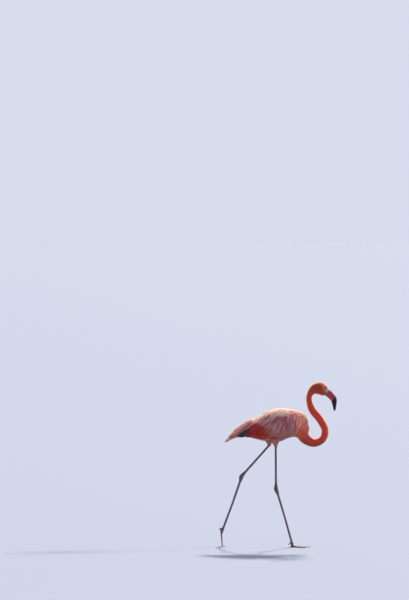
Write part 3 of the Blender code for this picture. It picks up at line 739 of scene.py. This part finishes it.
pieces = {
    "coatFace": {**neckCoat, "from": (-2, -1), "to": (3.3, 3.7), "spacing": 0.00115, "seed": 3, "vane": "face",
                 "spread": 0.15, "sink": 0.0003},
    "coatNeckUpper": {**neckCoat, "from": (3.3, 3.7), "to": (8.0, 8.4), "spacing": 0.00165, "seed": 5},
    "coatNeckLower": {**neckCoat, "from": (8.0, 8.4), "to": (12.7, 13.1), "spacing": 0.0019, "seed": 7},
    "coatBreast": {**bodyCoat, "from": (12.7, 13.1), "to": (15.3, 15.8), "spacing": 0.0024, "seed": 11},
    "coatTrunk": {**bodyCoat, "from": (15.3, 15.8), "to": (18.4, 18.8), "spacing": 0.0030, "seed": 13},
    "coatRump": {**bodyCoat, "from": (18.4, 18.8), "to": (21.2, 21.6), "spacing": 0.0032, "seed": 17,
                 "slot": "tail_plumage"},
}
thighCoat = {"vane": "thigh", "spacing": 0.0022, "seed": 19, "turn": 12, "spread": 0.25, "sink": 0.0004,
             "long": 0.0100, "wide": 0.0036, "lift": 0.14, "slot": "body_plumage"}
eyeBall = {"radius": float(eyeHigh[2] - eyeLow[2]) / 2, "bare": 0.0062, "bareSoft": 0.0014, "bareOut": 0.003}


def growSmall():
    stop = skinFields["stop"]
    away = np.abs(skinPoints) - np.abs(eyeCentre) - (0, eyeBall["bareOut"], 0)
    eyeGap = np.linalg.norm(away, axis=1)
    onThigh = step01(thighShare(skinPoints), 0.25, 0.6)
    depth, long, wide = (np.interp(stop, *rows) / 1000 for rows in (
        (skinPlan["depthStops"], skinPlan["depthMm"]), (sizes["stops"], sizes["longMm"]),
        (sizes["stops"], sizes["wideMm"])))
    lift = np.clip(depth / long + sizes["layMore"], 0.05, sizes["liftMost"])
    finish = plumageFinish("coatFinish")
    for name, plan in pieces.items():
        cover = step01(stop, *plan["from"]) * step01(stop, *reversed(plan["to"])) * (1 - onThigh)
        if name == "coatFace":
            cover = cover * step01(eyeGap, eyeBall["bare"], eyeBall["bare"] + eyeBall["bareSoft"])
            cover = cover * step01(stop, 0.48, 0.66)
        growCoat(name, plan, {"cover": cover, "long": long, "wide": wide, "lift": lift}, finish)
    even = {field: np.full(len(skinPoints), thighCoat[field]) for field in ("long", "wide", "lift")}
    growCoat("coatThighs", thighCoat, {"cover": onThigh, **even}, finish)
    for vane in smallVanes.values():
        bpy.data.objects.remove(vane)


growSmall()
show("skin", skinMesh, "red_plumage", skinFinish(), fleshNodes)
print("coat planted")


# Long feathers: each blade is swept along the skin from its root, in the lie of the coat

skinFaces = np.array([tuple(face.vertices) for face in skinMesh.polygons])
corner = skinPoints[skinFaces]
faceMid = corner.mean(1)
faceNormal = unit(skinNormals[skinFaces].mean(1))
faceLie = unit(skinLie[skinFaces].mean(1), 1e-9)
faceArea = 0.5 * np.linalg.norm(np.cross(corner[:, 2] - corner[:, 0], corner[:, 3] - corner[:, 1]), axis=1)
faceFields = fieldsAt(faceMid)
faceWhere, faceAngle = faceFields["stop"], faceFields["angle"]
faceX, faceZ = faceMid[:, 0] - shift, faceMid[:, 2]
sideOf = np.sign(faceMid[:, 1])


def scatterRoots(cover, spacing, seed):
    # faces for the roots, no two nearer than the spacing
    rng = np.random.default_rng(seed)
    chance = faceArea * np.clip(cover, 0, 1)
    wanted = int(chance.sum() / spacing**2 * 4)
    picked = rng.choice(len(faceArea), wanted, p=chance / chance.sum())
    kept, cells, nearby = [], {}, (-1, 0, 1)
    for face in picked:
        place = faceMid[face]
        cell = tuple((place / spacing).astype(int))
        near = [other for dx in nearby for dy in nearby for dz in nearby
                for other in cells.get((cell[0] + dx, cell[1] + dy, cell[2] + dz), ())]
        if all(np.sum((faceMid[other] - place)**2) > spacing**2 for other in near):
            cells.setdefault(cell, []).append(face)
            kept.append(face)
    return np.array(kept)


def rootFaces(stops, angles, sign):
    # the skin's faces nearest to given places along and round the line
    found = []
    for where, angle in zip(stops, angles):
        gap = (faceWhere - where)**2 + ((faceAngle - angle) / 16)**2 + 100 * (sideOf != sign)
        found.append(int(np.argmin(gap)))
    return np.array(found)


def sweepPath(face, length, lift, turn, plan):
    # the blade's middle line and the way it faces, from root to tip
    place, up, heading = faceMid[face], faceNormal[face], faceLie[face]
    heading = heading * math.cos(turn) + np.cross(up, heading) * math.sin(turn)
    hop, inertia = length / plan["rows"], plan["inertia"]
    path, ups, free = [], [], False
    for row in range(plan["rows"] + 1):
        rise = math.sin(min(row / plan["rows"] * 1.25, 1) * math.pi / 2)
        path.append(place + up * (lift[0] + (lift[1] - lift[0]) * rise))
        ups.append(up)
        ahead = place + heading * hop
        found, _, near, _ = skinTree.find_nearest(ahead)
        found = np.array(found)
        free = free or np.dot(ahead - found, heading) > 0.45 * hop
        if free:                                # past the skin's end: it hangs on in the air
            heading = unit(heading + np.array((0, 0, -plan["droop"] * hop)))
            up = unit(up - heading * np.dot(up, heading))
            place = ahead
        else:
            place = found
            up = unit(up * 0.4 + faceNormal[near] * 0.6)
            heading = heading * inertia + faceLie[near] * (1 - inertia)
            heading = unit(heading - up * np.dot(heading, up), 1e-9)
    return np.array(path), np.array(ups)


def bladeHalf(t, shape):
    if shape == "plume":      # loose and pointed
        return min(1.0, 0.22 + 2.0 * t) * max(1 - max((t - 0.40) / 0.60, 0)**1.7, 0.05)
    # a quill: long, firm and rounded
    return min(1.0, 0.25 + 2.6 * t) * math.sqrt(max(1 - max((t - 0.72) / 0.28, 0)**2.2, 0.01))


def bladeForm(rows, cols, thick):
    # the faces of one blade, and where its points lie along and across it; a thick one is closed underneath
    edge = cols + 1

    def low(r, c):
        return r * edge + c if c in (0, cols) else (rows + 1) * edge + r * (cols - 1) + c - 1

    inside = [(r, c) for r in range(rows) for c in range(cols)]
    cells = [(r * edge + c, r * edge + c + 1, (r + 1) * edge + c + 1, (r + 1) * edge + c) for r, c in inside]
    spots = [(r / rows, c / cols) for r in range(rows + 1) for c in range(edge)]
    if thick:
        cells += [(low(r, c), low(r + 1, c), low(r + 1, c + 1), low(r, c + 1)) for r, c in inside]
        for r in (0, rows):
            for c in range(cols):
                quad = (r * edge + c, r * edge + c + 1, low(r, c + 1), low(r, c))
                ring = tuple(dict.fromkeys(quad if r else quad[::-1]))
                if len(ring) > 2:
                    cells.append(ring)
        spots += [(r / rows, c / cols) for r in range(rows + 1) for c in range(1, cols)]
    return cells, np.array(spots)


def growBlades(name, plan, faces, finish, slot, tintOf=None):
    # a blade at each of the faces, in its root's colour where there is no rule for its tint
    rng = np.random.default_rng(plan["seed"])
    rows, cols = plan["rows"], plan["cols"]
    cells, spots = bladeForm(rows, cols, plan["thick"])
    t, across = (np.arange(rows + 1) / rows)[:, None], np.linspace(-1, 1, cols + 1)
    halves = np.array([bladeHalf(step, plan["shape"]) for step in t[:, 0]])[:, None]
    rootTint = None if tintOf else paintAt(faceMid[faces], {key: value[faces] for key, value in faceFields.items()})
    points, quads, roots, tints, quills = [], [], [], [], []
    for index, (face, long) in enumerate(zip(faces, np.broadcast_to(plan["long"], len(faces)))):
        length = long * (1 + plan["spread"] * rng.uniform(-1, 1))
        width = plan["wide"] * (1 + 0.5 * plan["spread"] * rng.uniform(-1, 1))
        turn = math.radians(plan["turn"]) * rng.uniform(-1, 1)
        lift = (plan["lift"][0], plan["lift"][1] * rng.uniform(0.75, 1.2))
        path, ups = sweepPath(face, length, lift, turn, plan)
        ways = unit(np.gradient(path, axis=0))
        splits = rng.uniform(1 - plan["ragged"], 1, (2, rows + 1))[:, :, None]
        half = 0.5 * width * halves
        out = half * across * np.where(across < 0, splits[0], splits[1])
        drop = plan["camber"] * half * across**2 - plan["shaft"] * (np.abs(across) < 1e-6)
        back = plan["rake"] * half * np.abs(across) * t
        grid = sum((way[:, None] * size[..., None] for way, size in (
            (unit(np.cross(ups, ways)), out), (-ups, drop), (ways, back))), path[:, None])
        points.append(grid.reshape(-1, 3))
        if plan["thick"]:
            under = grid - ups[:, None] * (plan["thick"] * (1 - across**2))[:, None]
            points.append(under[:, 1:-1].reshape(-1, 3))
        quads += [tuple(index * len(spots) + v for v in cell) for cell in cells]
        turnShare = math.atan2(faceFields["sin"][face], faceFields["cos"][face]) / (2 * math.pi) + 0.5
        roots.append((faceFields["length"][face] * bakeReach, turnShare * bakeReach))
        tints.append(tintOf(index, face, rng) if tintOf else rootTint[index])
        quills.append(rng.uniform(0, 1))
    roots, tints, quills = (np.repeat(values, len(spots), 0) for values in (roots, solidColour(tints), quills))
    spots = np.tile(spots, (len(faces), 1))
    mesh = buildMesh(name, np.concatenate(points), quads, {"OFBake": roots + spots * bakePatch, "vaneUv": spots})
    setAttribute(mesh, "tint", tints)
    setAttribute(mesh, "quill", quills)
    show(name, mesh, slot, finish)


softVane = {"spread": 0.25, "turn": 7, "inertia": 0.6, "rows": 8, "cols": 4, "camber": 0.28, "rake": 0.5,
            "shaft": 0.0002, "thick": 0, "shape": "plume", "spacing": 0.0044}
plumes = {**softVane, "long": 0.060, "wide": 0.0076, "spread": 0.30, "lift": (0.0008, 0.0030), "droop": 3.0,
          "rows": 10, "ragged": 0.30, "shaft": 0.00025, "seed": 31}
redPlumes = {**softVane, "long": 0.040, "wide": 0.0072, "turn": 8, "lift": (0.0006, 0.0026), "droop": 4.0,
             "ragged": 0.25, "seed": 37}
backPlumes = {**softVane, "long": 0.034, "wide": 0.0070, "lift": (0.0004, 0.0022), "droop": 2.0, "ragged": 0.20,
              "camber": 0.25, "rake": 0.4, "seed": 41}
roseFinish = plumeFinish("roseFinish", (0.46, 0.060, 0.036), (0.93, 0.58, 0.52), 0.45)
redFinish = plumeFinish("redFinish", (0.22, 0.010, 0.007), (0.70, 0.12, 0.07), 0.5)
backFinish = plumeFinish("backFinish", (0.70, 0.20, 0.12), (0.96, 0.62, 0.50), 0.30)

# the plumes hang past their roots, so they start this far above the edge that their tips make
overhang = np.interp(faceX, (-0.08, -0.04, 0.0, 0.06, 0.12, 0.20), (0.004, 0.014, 0.042, 0.050, 0.044, 0.024))
aboveRidge = faceAngle - np.interp(faceWhere, (14.6, 15.8), (18, 40))
roseCover = (step01(faceZ - roseLine(faceX) - overhang, -0.006, 0.006) * step01(aboveRidge, 0, 9)
             * share(faceFields, [("stop", 13.5, 14.0), ("stop", 19.2, 18.6)]))
noRose = 1 - (roseCover > 0.3)
redRules = [("stop", 15.8, 16.3), ("stop", 19.2, 18.7), ("angle", 40, 55), ("angle", 146, 132)]
redCover = (noRose * (faceZ < roseLine(faceX) + 0.012) * step01(thighShare(faceMid), 0.4, 0.1)
            * share(faceFields, redRules))
backCover = noRose * step01(aboveRidge, 24, 14) * share(faceFields, [("stop", 14.0, 14.6), ("stop", 21.0, 20.2)])

# colours of single plumes: bands of pale and of stained strands along the fall of the plumes
strands = {"pale": (0.62, 0.36, 0.40), "mid": (0.34, 0.115, 0.125), "deep": (0.38, 0.042, 0.030),
           "warm": (0.52, 0.15, 0.10), "front": (0.56, 0.20, 0.125), "dark": (0.36, 0.030, 0.020),
           "gaps": ((0.132, 0.732, 0.012), (0.186, 0.706, 0.009))}


def roseTint(index, face, rng):
    x, z = faceX[face], faceZ[face]
    band = (0.8 * math.sin(x * 120 - z * 60 + 2.2 * math.sin(z * 95 + x * 40))
            + 0.6 * math.sin(x * 300 - z * 110 + 1.7 + 1.8 * math.sin(z * 160)) + rng.normal(0, 0.8))
    band -= 0.9 * step01(z, 0.700, 0.640)
    tint = toward(np.array(strands["mid"]), strands["pale"], step01(band, -0.1, 1.3))
    tint = toward(tint, strands["deep"], step01(band, -0.7, -1.5))
    low = step01(z, 0.715, 0.650) * step01(x, 0.02, 0.08)
    tint = toward(tint, np.array(strands["warm"]) * tint[0] / 0.5, low * 0.7)
    tint = toward(tint, np.array(strands["front"]) * (0.7 + tint[0]), step01(x, 0.165, 0.215) * 0.7)
    for gapX, gapZ, gapR in strands["gaps"]:
        near = step01(math.hypot(x - gapX, (z - gapZ) * 0.6), gapR, gapR * 0.4)
        tint = toward(tint, strands["dark"], near * 0.8)
    return tint


def redTint(index, face, rng):
    x, z = faceX[face], faceZ[face]
    tint = np.array(plumage["red"]) * rng.uniform(0.8, 1.12)
    tint = toward(tint, strands["dark"], step01(z, 0.615, 0.598) * step01(x, 0.02, 0.05) * 0.8)
    return toward(tint, strands["mid"], step01(math.hypot((x - 0.062) * 0.7, z - 0.622), 0.014, 0.006) * 0.8)


for side, sign in sides.items():
    for kind, plan, cover, finish, slot, tintOf in (
            ("plumesRed", redPlumes, redCover, redFinish, "tail_plumage", redTint),
            ("plumesRose", plumes, roseCover, roseFinish, "wing_plumage", roseTint),
            ("plumesBack", backPlumes, backCover, backFinish, "body_plumage", None)):
        faces = scatterRoots(cover * (sideOf == sign), plan["spacing"], plan["seed"] + (sign > 0))
        growBlades(kind + side.capitalize(), plan, faces, finish, slot, tintOf)

# a few loose pale plumes hang below the belly between breast and thigh
wisps = {**softVane, "long": 0.036, "wide": 0.0042, "spread": 0.35, "turn": 14, "lift": (0.001, 0.0030),
         "inertia": 0.9, "droop": 45.0, "rows": 10, "ragged": 0.35, "camber": 0.25, "seed": 61,
         "stops": (14.35, 14.45, 14.55, 14.6, 14.75, 15.3, 17.6, 17.9),
         "angles": (138, 146, 141, 150, 144, 148, 150, 146), "tint": (0.78, 0.52, 0.50)}
for side, sign in sides.items():
    faces = rootFaces(wisps["stops"], wisps["angles"], sign)
    growBlades("wisps" + side.capitalize(), wisps, faces, roseFinish, "body_plumage",
               lambda index, face, rng: wisps["tint"])


# Firm feathers of the wing tip and tail; the tips' reach is given at the first, a middle and the last one

firmVane = {"count": 13, "turn": 1, "inertia": 0.9, "rows": 20, "cols": 6, "camber": 0.30, "rake": 0.6,
            "shaft": 0.0006, "thick": 0.0006, "shape": "quill"}
firm = {
    "tail": {**firmVane, "count": 7, "stops": (20.3, 20.5), "angles": (8, 76), "tips": 0.084,
             "reach": (1.0, 1.0, 0.86), "wide": 0.0135, "spread": 0.04, "lift": (0.0, 0.0012), "droop": 1.0,
             "rows": 16, "ragged": 0.05, "camber": 0.26, "shape": "plume", "seed": 53, "slot": "tail_plumage",
             "upper": (0.93, 0.36, 0.26), "under": (0.74, 0.50, 0.52)},
    "primaries": {**firmVane, "stops": (18.1, 18.7), "angles": (60, 128), "tips": 0.096, "reach": (1.0, 1.0, 0.72),
                  "wide": 0.0200, "spread": 0.05, "lift": (0.001, 0.0036), "droop": 2.0, "ragged": 0.03,
                  "shaft": 0.0007, "thick": 0.0007, "seed": 47, "slot": "flight_feathers",
                  "upper": (0.052, 0.036, 0.052), "under": (0.052, 0.036, 0.052)},
    # tertials: the lower blades turn to the dark under colour, partly their own crimson and partly painted shadow
    # beneath the tertials
    "tertials": {**firmVane, "stops": (17.4, 18.9), "angles": (16, 64), "tips": 0.152, "reach": (1.0, 0.98, 0.72),
                 "wide": 0.0175, "spread": 0.07, "turn": 2, "lift": (0.001, 0.0052), "inertia": 0.88, "droop": 4.0,
                 "ragged": 0.10, "rake": 0.7, "seed": 43, "slot": "tail_plumage",
                 "upper": (0.97, 0.42, 0.31), "under": (0.38, 0.135, 0.135)},
}
firmFinishes = {
    "tail": firmFinish("rectrixFinish", (0.66, 0.36, 0.36), (0.90, 0.78, 0.78)),
    "primaries": firmFinish("primaryFinish", (0.012, 0.009, 0.012), (0.10, 0.06, 0.07), roughness=0.5, sheen=0.0),
    "tertials": firmFinish("tertialFinish", (0.66, 0.16, 0.10), (0.95, 0.60, 0.50)),
}


def plantFirm(kind, plan, side, sign):
    place = np.linspace(0, 1, plan["count"])
    stops, angles = (low + (high - low) * place for low, high in (plan["stops"], plan["angles"]))
    lengths = plan["tips"] * np.interp(place, (0, 0.35, 1), plan["reach"])
    tints = toward(np.array([plan["upper"]]), plan["under"], step01(place, 0.25, 0.65)[:, None])

    def tintOf(index, face, rng):
        return tints[index] * (0.92 + 0.16 * rng.uniform())

    growBlades(kind + side.capitalize(), {**plan, "long": lengths}, rootFaces(stops, angles, sign),
               firmFinishes[kind], plan["slot"], tintOf)


for side, sign in sides.items():
    for kind, plan in firm.items():
        plantFirm(kind, plan, side, sign)
print("plumes and long feathers laid")


# Legs and feet: one skin each, with cross plates down the front and the back

legPlan = {"voxel": 0.00085, "swell": 0.0005, "smooth": 5, "pink": (0.132, 0.092, 0.125),
           "patch": (0.175, 0.088, 0.110), "joint": (0.105, 0.052, 0.066), "seam": (0.13, 0.085, 0.12),
           "platePale": (0.40, 0.29, 0.36),
           "lines": {"shank": (5, 14), "tarsus": (0, 15)}, "cuts": 16, "facing": (1.0, 0.0, 0.25),
           "cells": (3, 6), "far": 0.02, "rimSink": 0.00012,
           "front": {"pitch": 0.0046, "halfTurn": 62, "proud": 0.00028},
           "behind": {"pitch": 0.00368, "halfTurn": 48, "proud": 0.000224}, "halluxReach": 1.2}


def centreLine(nodeName):
    # the middle of a limb's node, from its top down
    form = solidForm(nodeName)
    points = np.array([vertex.co for vertex in form.verts])
    form.free()
    mean = points.mean(0)
    axis = np.linalg.svd(points - mean)[2][0]
    axis = axis if axis[2] < 0 else -axis
    along = (points - mean) @ axis
    cuts = np.quantile(along, np.linspace(0, 1, legPlan["cuts"] + 1))
    return np.array([points[(along >= low - 1e-6) & (along <= high + 1e-6)].mean(0)
                     for low, high in zip(cuts[:-1], cuts[1:])])


def plateBlock(centre, ahead, out, run, tree):
    # one curved scale's points on the skin, or nothing where the skin is missed
    rows, cols = legPlan["cells"]
    block = np.zeros((rows + 1, cols + 1, 3))
    for row, col in np.ndindex(rows + 1, cols + 1):
        across = 2 * col / cols - 1
        turn = math.radians(run["halfTurn"]) * across
        curve = 0.16 * run["pitch"] * (1 - across**2)
        start = centre + ahead * (run["pitch"] * (row / rows - 0.5) * 0.94 + curve)
        ray = out * math.cos(turn) + np.cross(ahead, out) * math.sin(turn)
        hit = tree.ray_cast(Vector(start + ray * legPlan["far"]), Vector(-ray), legPlan["far"])[0]
        if hit is None:
            return None
        rim = row in (0, rows) or col in (0, cols)
        height = -legPlan["rimSink"] if rim else run["proud"] * (0.7 + 0.3 * math.sin(math.pi * row / rows))
        block[row, col] = np.array(hit) + ray * height
    return block.reshape(-1, 3)


def growPlates(name, tree, runs, finish):
    # thin curved scales that hug the skin; each run is a path with a facing and plate sizes
    points, quads, spots, quills = [], [], [], []
    rng = np.random.default_rng(61)
    rows, cols = legPlan["cells"]
    for run in runs:
        line, pitch = run["line"], run["pitch"]
        length = np.concatenate([[0], np.cumsum(np.linalg.norm(np.diff(line, axis=0), axis=1))])
        for place in np.arange(pitch * 0.5, length[-1] - pitch * 0.5, pitch):
            centre, beyond = (np.array([np.interp(spot, length, line[:, axis]) for axis in range(3)])
                              for spot in (place, place + pitch * 0.5))
            ahead = unit(beyond - centre)
            out = unit(run["facing"] - ahead * np.dot(run["facing"], ahead))
            block = plateBlock(centre, ahead, out, run, tree)
            if block is None:
                continue
            base = len(points) * len(block)
            quads += [tuple(base + v for v in cell) for cell in gridCells(rows, cols)]
            points.append(block)
            spots += [(place / length[-1] * 0.9 + bakePatch * r / rows, run["band"] + bakePatch * c / cols)
                      for r in range(rows + 1) for c in range(cols + 1)]
            quills += [rng.uniform()] * len(block)
    made = buildMesh(name, np.concatenate(points), quads, {"OFBake": spots})
    setAttribute(made, "quill", quills)
    show(name, made, "leg_skin", finish)


def legFinish(name, plates):
    finish = Finish(name, 0.5, Specular_IOR_Level=0.4)
    patchy = finish.noise(38.0, 4.0)
    colour = finish.mix(patchy.ramp(0.3, 0.75) * 0.45, legPlan["pink"], legPlan["patch"])
    if plates:
        finish.set(Base_Color=finish.mix(finish.attribute("quill", "Fac") * 0.35, colour, legPlan["platePale"]))
        finish.bump(finish.noise(900.0, 3.0), 0.3, 0.0002)
        return finish.material
    colour = finish.mix(finish.attribute("knob", "Fac") * 0.75, colour, legPlan["joint"])
    values = {"Vector": finish.place(), "Scale": 620.0}
    cells = finish.node("ShaderNodeTexVoronoi", {"feature": "DISTANCE_TO_EDGE"}, values)
    finish.set(Base_Color=finish.mix(cells.ramp(0.10, 0.0) * 0.35, colour, legPlan["seam"]))
    finish.bump(cells.ramp(0.0, 0.22) + patchy * 0.2, 0.5, 0.0004)
    return finish.material


legSkinFinish, plateFinish = legFinish("legSkinFinish", False), legFinish("plateFinish", True)
for side in sides:
    nodes = [f"{part}_{side}" for part in ("shank", "tarsus", "foot", "hallux")]
    mesh, points, normals = smoothFlesh("leg_" + side, nodes, legPlan,
                                        {"hallux_" + side: ("tarsus_" + side, legPlan["halluxReach"])})
    putPoints(mesh, points - normals * legPlan["swell"])
    points, _ = meshArrays(mesh)
    lines = {part: centreLine(f"{part}_{side}") for part in legPlan["lines"]}
    ankle, toes = (lines["shank"][-1] + lines["tarsus"][0]) / 2, lines["tarsus"][-1]
    setAttribute(mesh, "knob", np.maximum(step01(np.linalg.norm(points - ankle, axis=1), 0.034, 0.016),
                                          0.8 * step01(np.linalg.norm(points - toes, axis=1), 0.022, 0.010)))
    show("leg" + side.capitalize(), mesh, "leg_skin", legSkinFinish, nodes)
    runs = []
    for part, (first, last) in legPlan["lines"].items():
        for face, sign in (("front", 1), ("behind", -1)):
            runs.append({**legPlan[face], "line": lines[part][first:last],
                         "facing": sign * np.array(legPlan["facing"]), "band": 0.10 + 0.2 * len(runs)})
    growPlates("plates" + side.capitalize(), treeOf(mesh), runs, plateFinish)


# Claws

claw = {"voxel": 0.0004, "swell": 0.0, "smooth": 3, "reach": 1.22, "dark": (0.035, 0.024, 0.028),
        "pale": (0.085, 0.060, 0.065)}


def clawFinish():
    finish = Finish("clawFinish", 0.38)
    grain = finish.noise(300.0, 3.0, (1, 1, 4))
    finish.set(Base_Color=finish.mix(grain.ramp(0.3, 0.7), claw["dark"], claw["pale"]))
    finish.bump(grain, 0.2, 0.0002)
    return finish.material


clawPaint = clawFinish()
for side in sides:
    nodes = [f"claw_{part}_{side}" for part in ("inner", "middle", "outer")]
    joined = bmesh.new()
    for node in nodes:
        mesh, points, _ = smoothFlesh("claw", [node], claw)
        # each is longer than its node, to run into the toe, and ends at the floor
        points = runInto(points, "foot_" + side, claw["reach"])
        points[:, 2] = np.maximum(points[:, 2], 0.0)
        putPoints(mesh, points)
        joined.from_mesh(mesh)
        bpy.data.meshes.remove(mesh)
    show("claws" + side.capitalize(), meshFrom("claws_" + side, joined), "claw", clawPaint, nodes, smooth=True)


# Bill: pale at the root, pink to the bend, black beyond it, with a slit of a nostril on either side

billPlan = {"voxel": 0.00065, "swell": 0.0, "smooth": 40, "edgeSoft": 0.0013,
            "root": (0.352, 0.855), "way": (0.68, -0.73),
            "upper": {"root": plumage["bare"], "pink": (0.225, 0.047, 0.076),
                      "blackFrom": ((0.411, 0.8345), (0.3930, 0.8280))},
            "lower": {"root": plumage["bareLow"], "pink": (0.46, 0.050, 0.062),
                      "blackFrom": ((0.400, 0.8216), (0.3795, 0.7965))},
            "black": (0.009, 0.007, 0.012), "nostril": ((0.3585, 0.8620), (0.3805, 0.8448)),
            # the slit's dark colour is painted shade in the nostril's hollow
            "nostrilDeep": 0.0011, "nostrilPaintedShade": (0.05, 0.02, 0.03)}
# the mouth's red and dark: partly the lining's own colour, partly painted shade in the gap between the halves
mouth = {"voxel": 0.0009, "swell": 0.0003, "smooth": 20, "sink": 0.0014, "red": (0.16, 0.030, 0.035),
         "dark": (0.05, 0.012, 0.016)}


def billFinish():
    finish = Finish("billFinish", 0.42, Specular_IOR_Level=0.30)
    fine, patchy = finish.noise(240.0, 4.0), finish.noise(70.0, 3.0)
    colour = finish.shaded(finish.attribute("tint"), patchy.ramp(0.35, 0.75) * 0.25, (0.72, 0.55, 0.60))
    finish.set(Base_Color=colour, Roughness=0.36 + 0.16 * fine)
    finish.bump(fine + finish.noise(900.0, 2.0) * 0.3, 0.25, 0.0004)
    return finish.material


def acrossLine(flat, start, end):
    # for x and z in two columns: how far along a line from its start, and how far to its side
    way = unit(np.array(end) - start)
    offset = flat - start
    return offset @ way, offset[:, 1] * way[0] - offset[:, 0] * way[1]


def paintBill(points, half):
    flat, look = points[:, [0, 2]] - (shift, 0), billPlan[half]
    along = (flat - billPlan["root"]) @ billPlan["way"]
    colours = toward(np.array([look["root"]]), look["pink"], step01(along, -0.002, 0.016)[:, None])
    _, beyond = acrossLine(flat, *look["blackFrom"])
    wave = 0.0005 * np.sin(points[:, 1] * 420) + 0.0003 * np.sin(points[:, 2] * 900)
    soft = billPlan["edgeSoft"]
    return toward(colours, billPlan["black"], step01(beyond + wave, -soft, soft)[:, None])


def nostrilAt(points, normals):
    # one in the slit of the nostril, on the sides of the bill
    along, off = acrossLine(points[:, [0, 2]] - (shift, 0), *billPlan["nostril"])
    slit = step01(np.abs(off), 0.0012, 0.0003) * step01(along, 0.0, 0.002) * step01(along, 0.0275, 0.0240)
    return (slit * (np.abs(normals[:, 1]) > 0.35))[:, None]


billPaint = billFinish()
for half in ("upper", "lower"):
    mesh, points, normals = smoothFlesh("bill_" + half, ["bill_" + half], billPlan)
    slit = nostrilAt(points, normals) if half == "upper" else 0
    points = points - normals * billPlan["nostrilDeep"] * slit
    putPoints(mesh, points)
    # the slit is painted dark: painted shade in the nostril
    colours = toward(paintBill(points, half), billPlan["nostrilPaintedShade"], slit * 0.85)
    setAttribute(mesh, "tint", solidColour(colours))
    show("bill" + half.capitalize(), mesh, "bill", billPaint, ["bill_" + half])

# the mouth's dark red inside shows as a line where the two halves meet: partly the lining's own colour, partly
# painted shade in the gap
mesh, points, normals = smoothFlesh("mouth", ["bill_upper", "bill_lower"], mouth)
putPoints(mesh, points - normals * mouth["sink"])
mouthFinish = Finish("mouthFinish", 0.6)
mouthFinish.set(Base_Color=mouthFinish.mix(mouthFinish.noise(300.0), mouth["red"], mouth["dark"]))
show("mouth", mesh, "bill", mouthFinish.material)


# Eyes: a pale iris round a black pupil under a clear wet front, with a bare fold of lid

eyePlan = {"iris": (0.66, 0.48, 0.17), "irisRim": (0.46, 0.27, 0.08), "pupil": 0.34, "black": (0.004, 0.004, 0.005),
           "rim": (0.05, 0.02, 0.02), "irisAngle": 62, "meridians": 48, "rings": 28}
lid = {"thick": 0.00105, "out": 0.0050, "squint": 0.90, "segments": 64, "sectors": 14,
       "colour": (0.44, 0.21, 0.10), "patch": (0.38, 0.12, 0.09)}


def eyeFinish():
    finish = Finish("eyeFinish", 0.12, Specular_IOR_Level=0.35, Coat_Weight=0.5, Coat_Roughness=0.04)
    out = finish.attribute("out", "Fac")
    iris = finish.mix((out + finish.noise(900.0, 2.0) * 0.10).ramp(0.5, 0.85), eyePlan["iris"], eyePlan["irisRim"])
    colour = finish.mix(out.ramp(eyePlan["pupil"], eyePlan["pupil"] + 0.03), eyePlan["black"], iris)
    finish.set(Base_Color=finish.mix(out.ramp(0.86, 0.94), colour, eyePlan["rim"]))
    return finish.material


def lidFinish():
    finish = Finish("lidFinish", 0.55)
    fine = finish.noise(700.0, 4.0)
    finish.set(Base_Color=finish.mix(fine.ramp(0.3, 0.7) * 0.5, lid["colour"], lid["patch"]))
    finish.bump(fine, 0.5, 0.0003)
    return finish.material


def makeEye(side, sign, centre):
    ball = bmesh.new()
    bmesh.ops.create_uvsphere(ball, u_segments=eyePlan["meridians"], v_segments=eyePlan["rings"],
                              radius=eyeBall["radius"] * 0.995)
    for vertex in ball.verts:
        x, y, z = vertex.co
        vertex.co = (x, z * sign, y)
    bmesh.ops.recalc_face_normals(ball, faces=ball.faces)
    mesh = meshFrom("eye_" + side, ball)
    points, _ = meshArrays(mesh)
    outward = np.degrees(np.arccos(np.clip(points[:, 1] * sign / eyeBall["radius"], -1, 1)))
    setAttribute(mesh, "out", np.clip(outward / eyePlan["irisAngle"], 0, 1.5))
    putPoints(mesh, points + centre)
    return mesh


def makeLid(side, sign, centre):
    # a soft ring with its corners drawn out fore and aft
    form, grid = bmesh.new(), []
    segments, sectors, radius = lid["segments"], lid["sectors"], eyeBall["radius"]
    for i in range(segments):
        turn = 2 * math.pi * i / segments
        x = lid["out"] * (1 + 0.16 * abs(math.cos(turn))**6) * math.cos(turn)
        z = lid["out"] * lid["squint"] * math.sin(turn)
        reach = math.hypot(x, z)
        rise = math.sqrt(max(radius**2 - min(reach, radius * 0.98)**2, 0))
        thick = lid["thick"] * (1 + 0.12 * math.sin(turn * 23))
        grid.append([])
        for j in range(sectors):
            roll = 2 * math.pi * j / sectors
            grow = 1 + math.cos(roll) * thick / reach
            spot = np.array((x * grow, sign * (rise + math.sin(roll) * thick * 0.75), z * grow))
            grid[-1].append(form.verts.new(centre + spot))
    for i, j in np.ndindex(segments, sectors):
        a, b, after = grid[i], grid[(i + 1) % segments], (j + 1) % sectors
        form.faces.new((a[j], b[j], b[after], a[after]))
    bmesh.ops.recalc_face_normals(form, faces=form.faces)
    return meshFrom("lid_" + side, form)


eyePaint, lidPaint = eyeFinish(), lidFinish()
for side, sign in sides.items():
    low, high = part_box("eye_" + side)
    centre = (np.array(low) + np.array(high)) / 2
    show("eye" + side.capitalize(), makeEye(side, sign, centre), "eye", eyePaint, ["eye_" + side], smooth=True)
    show("lid" + side.capitalize(), makeLid(side, sign, centre), "red_plumage", lidPaint, smooth=True)
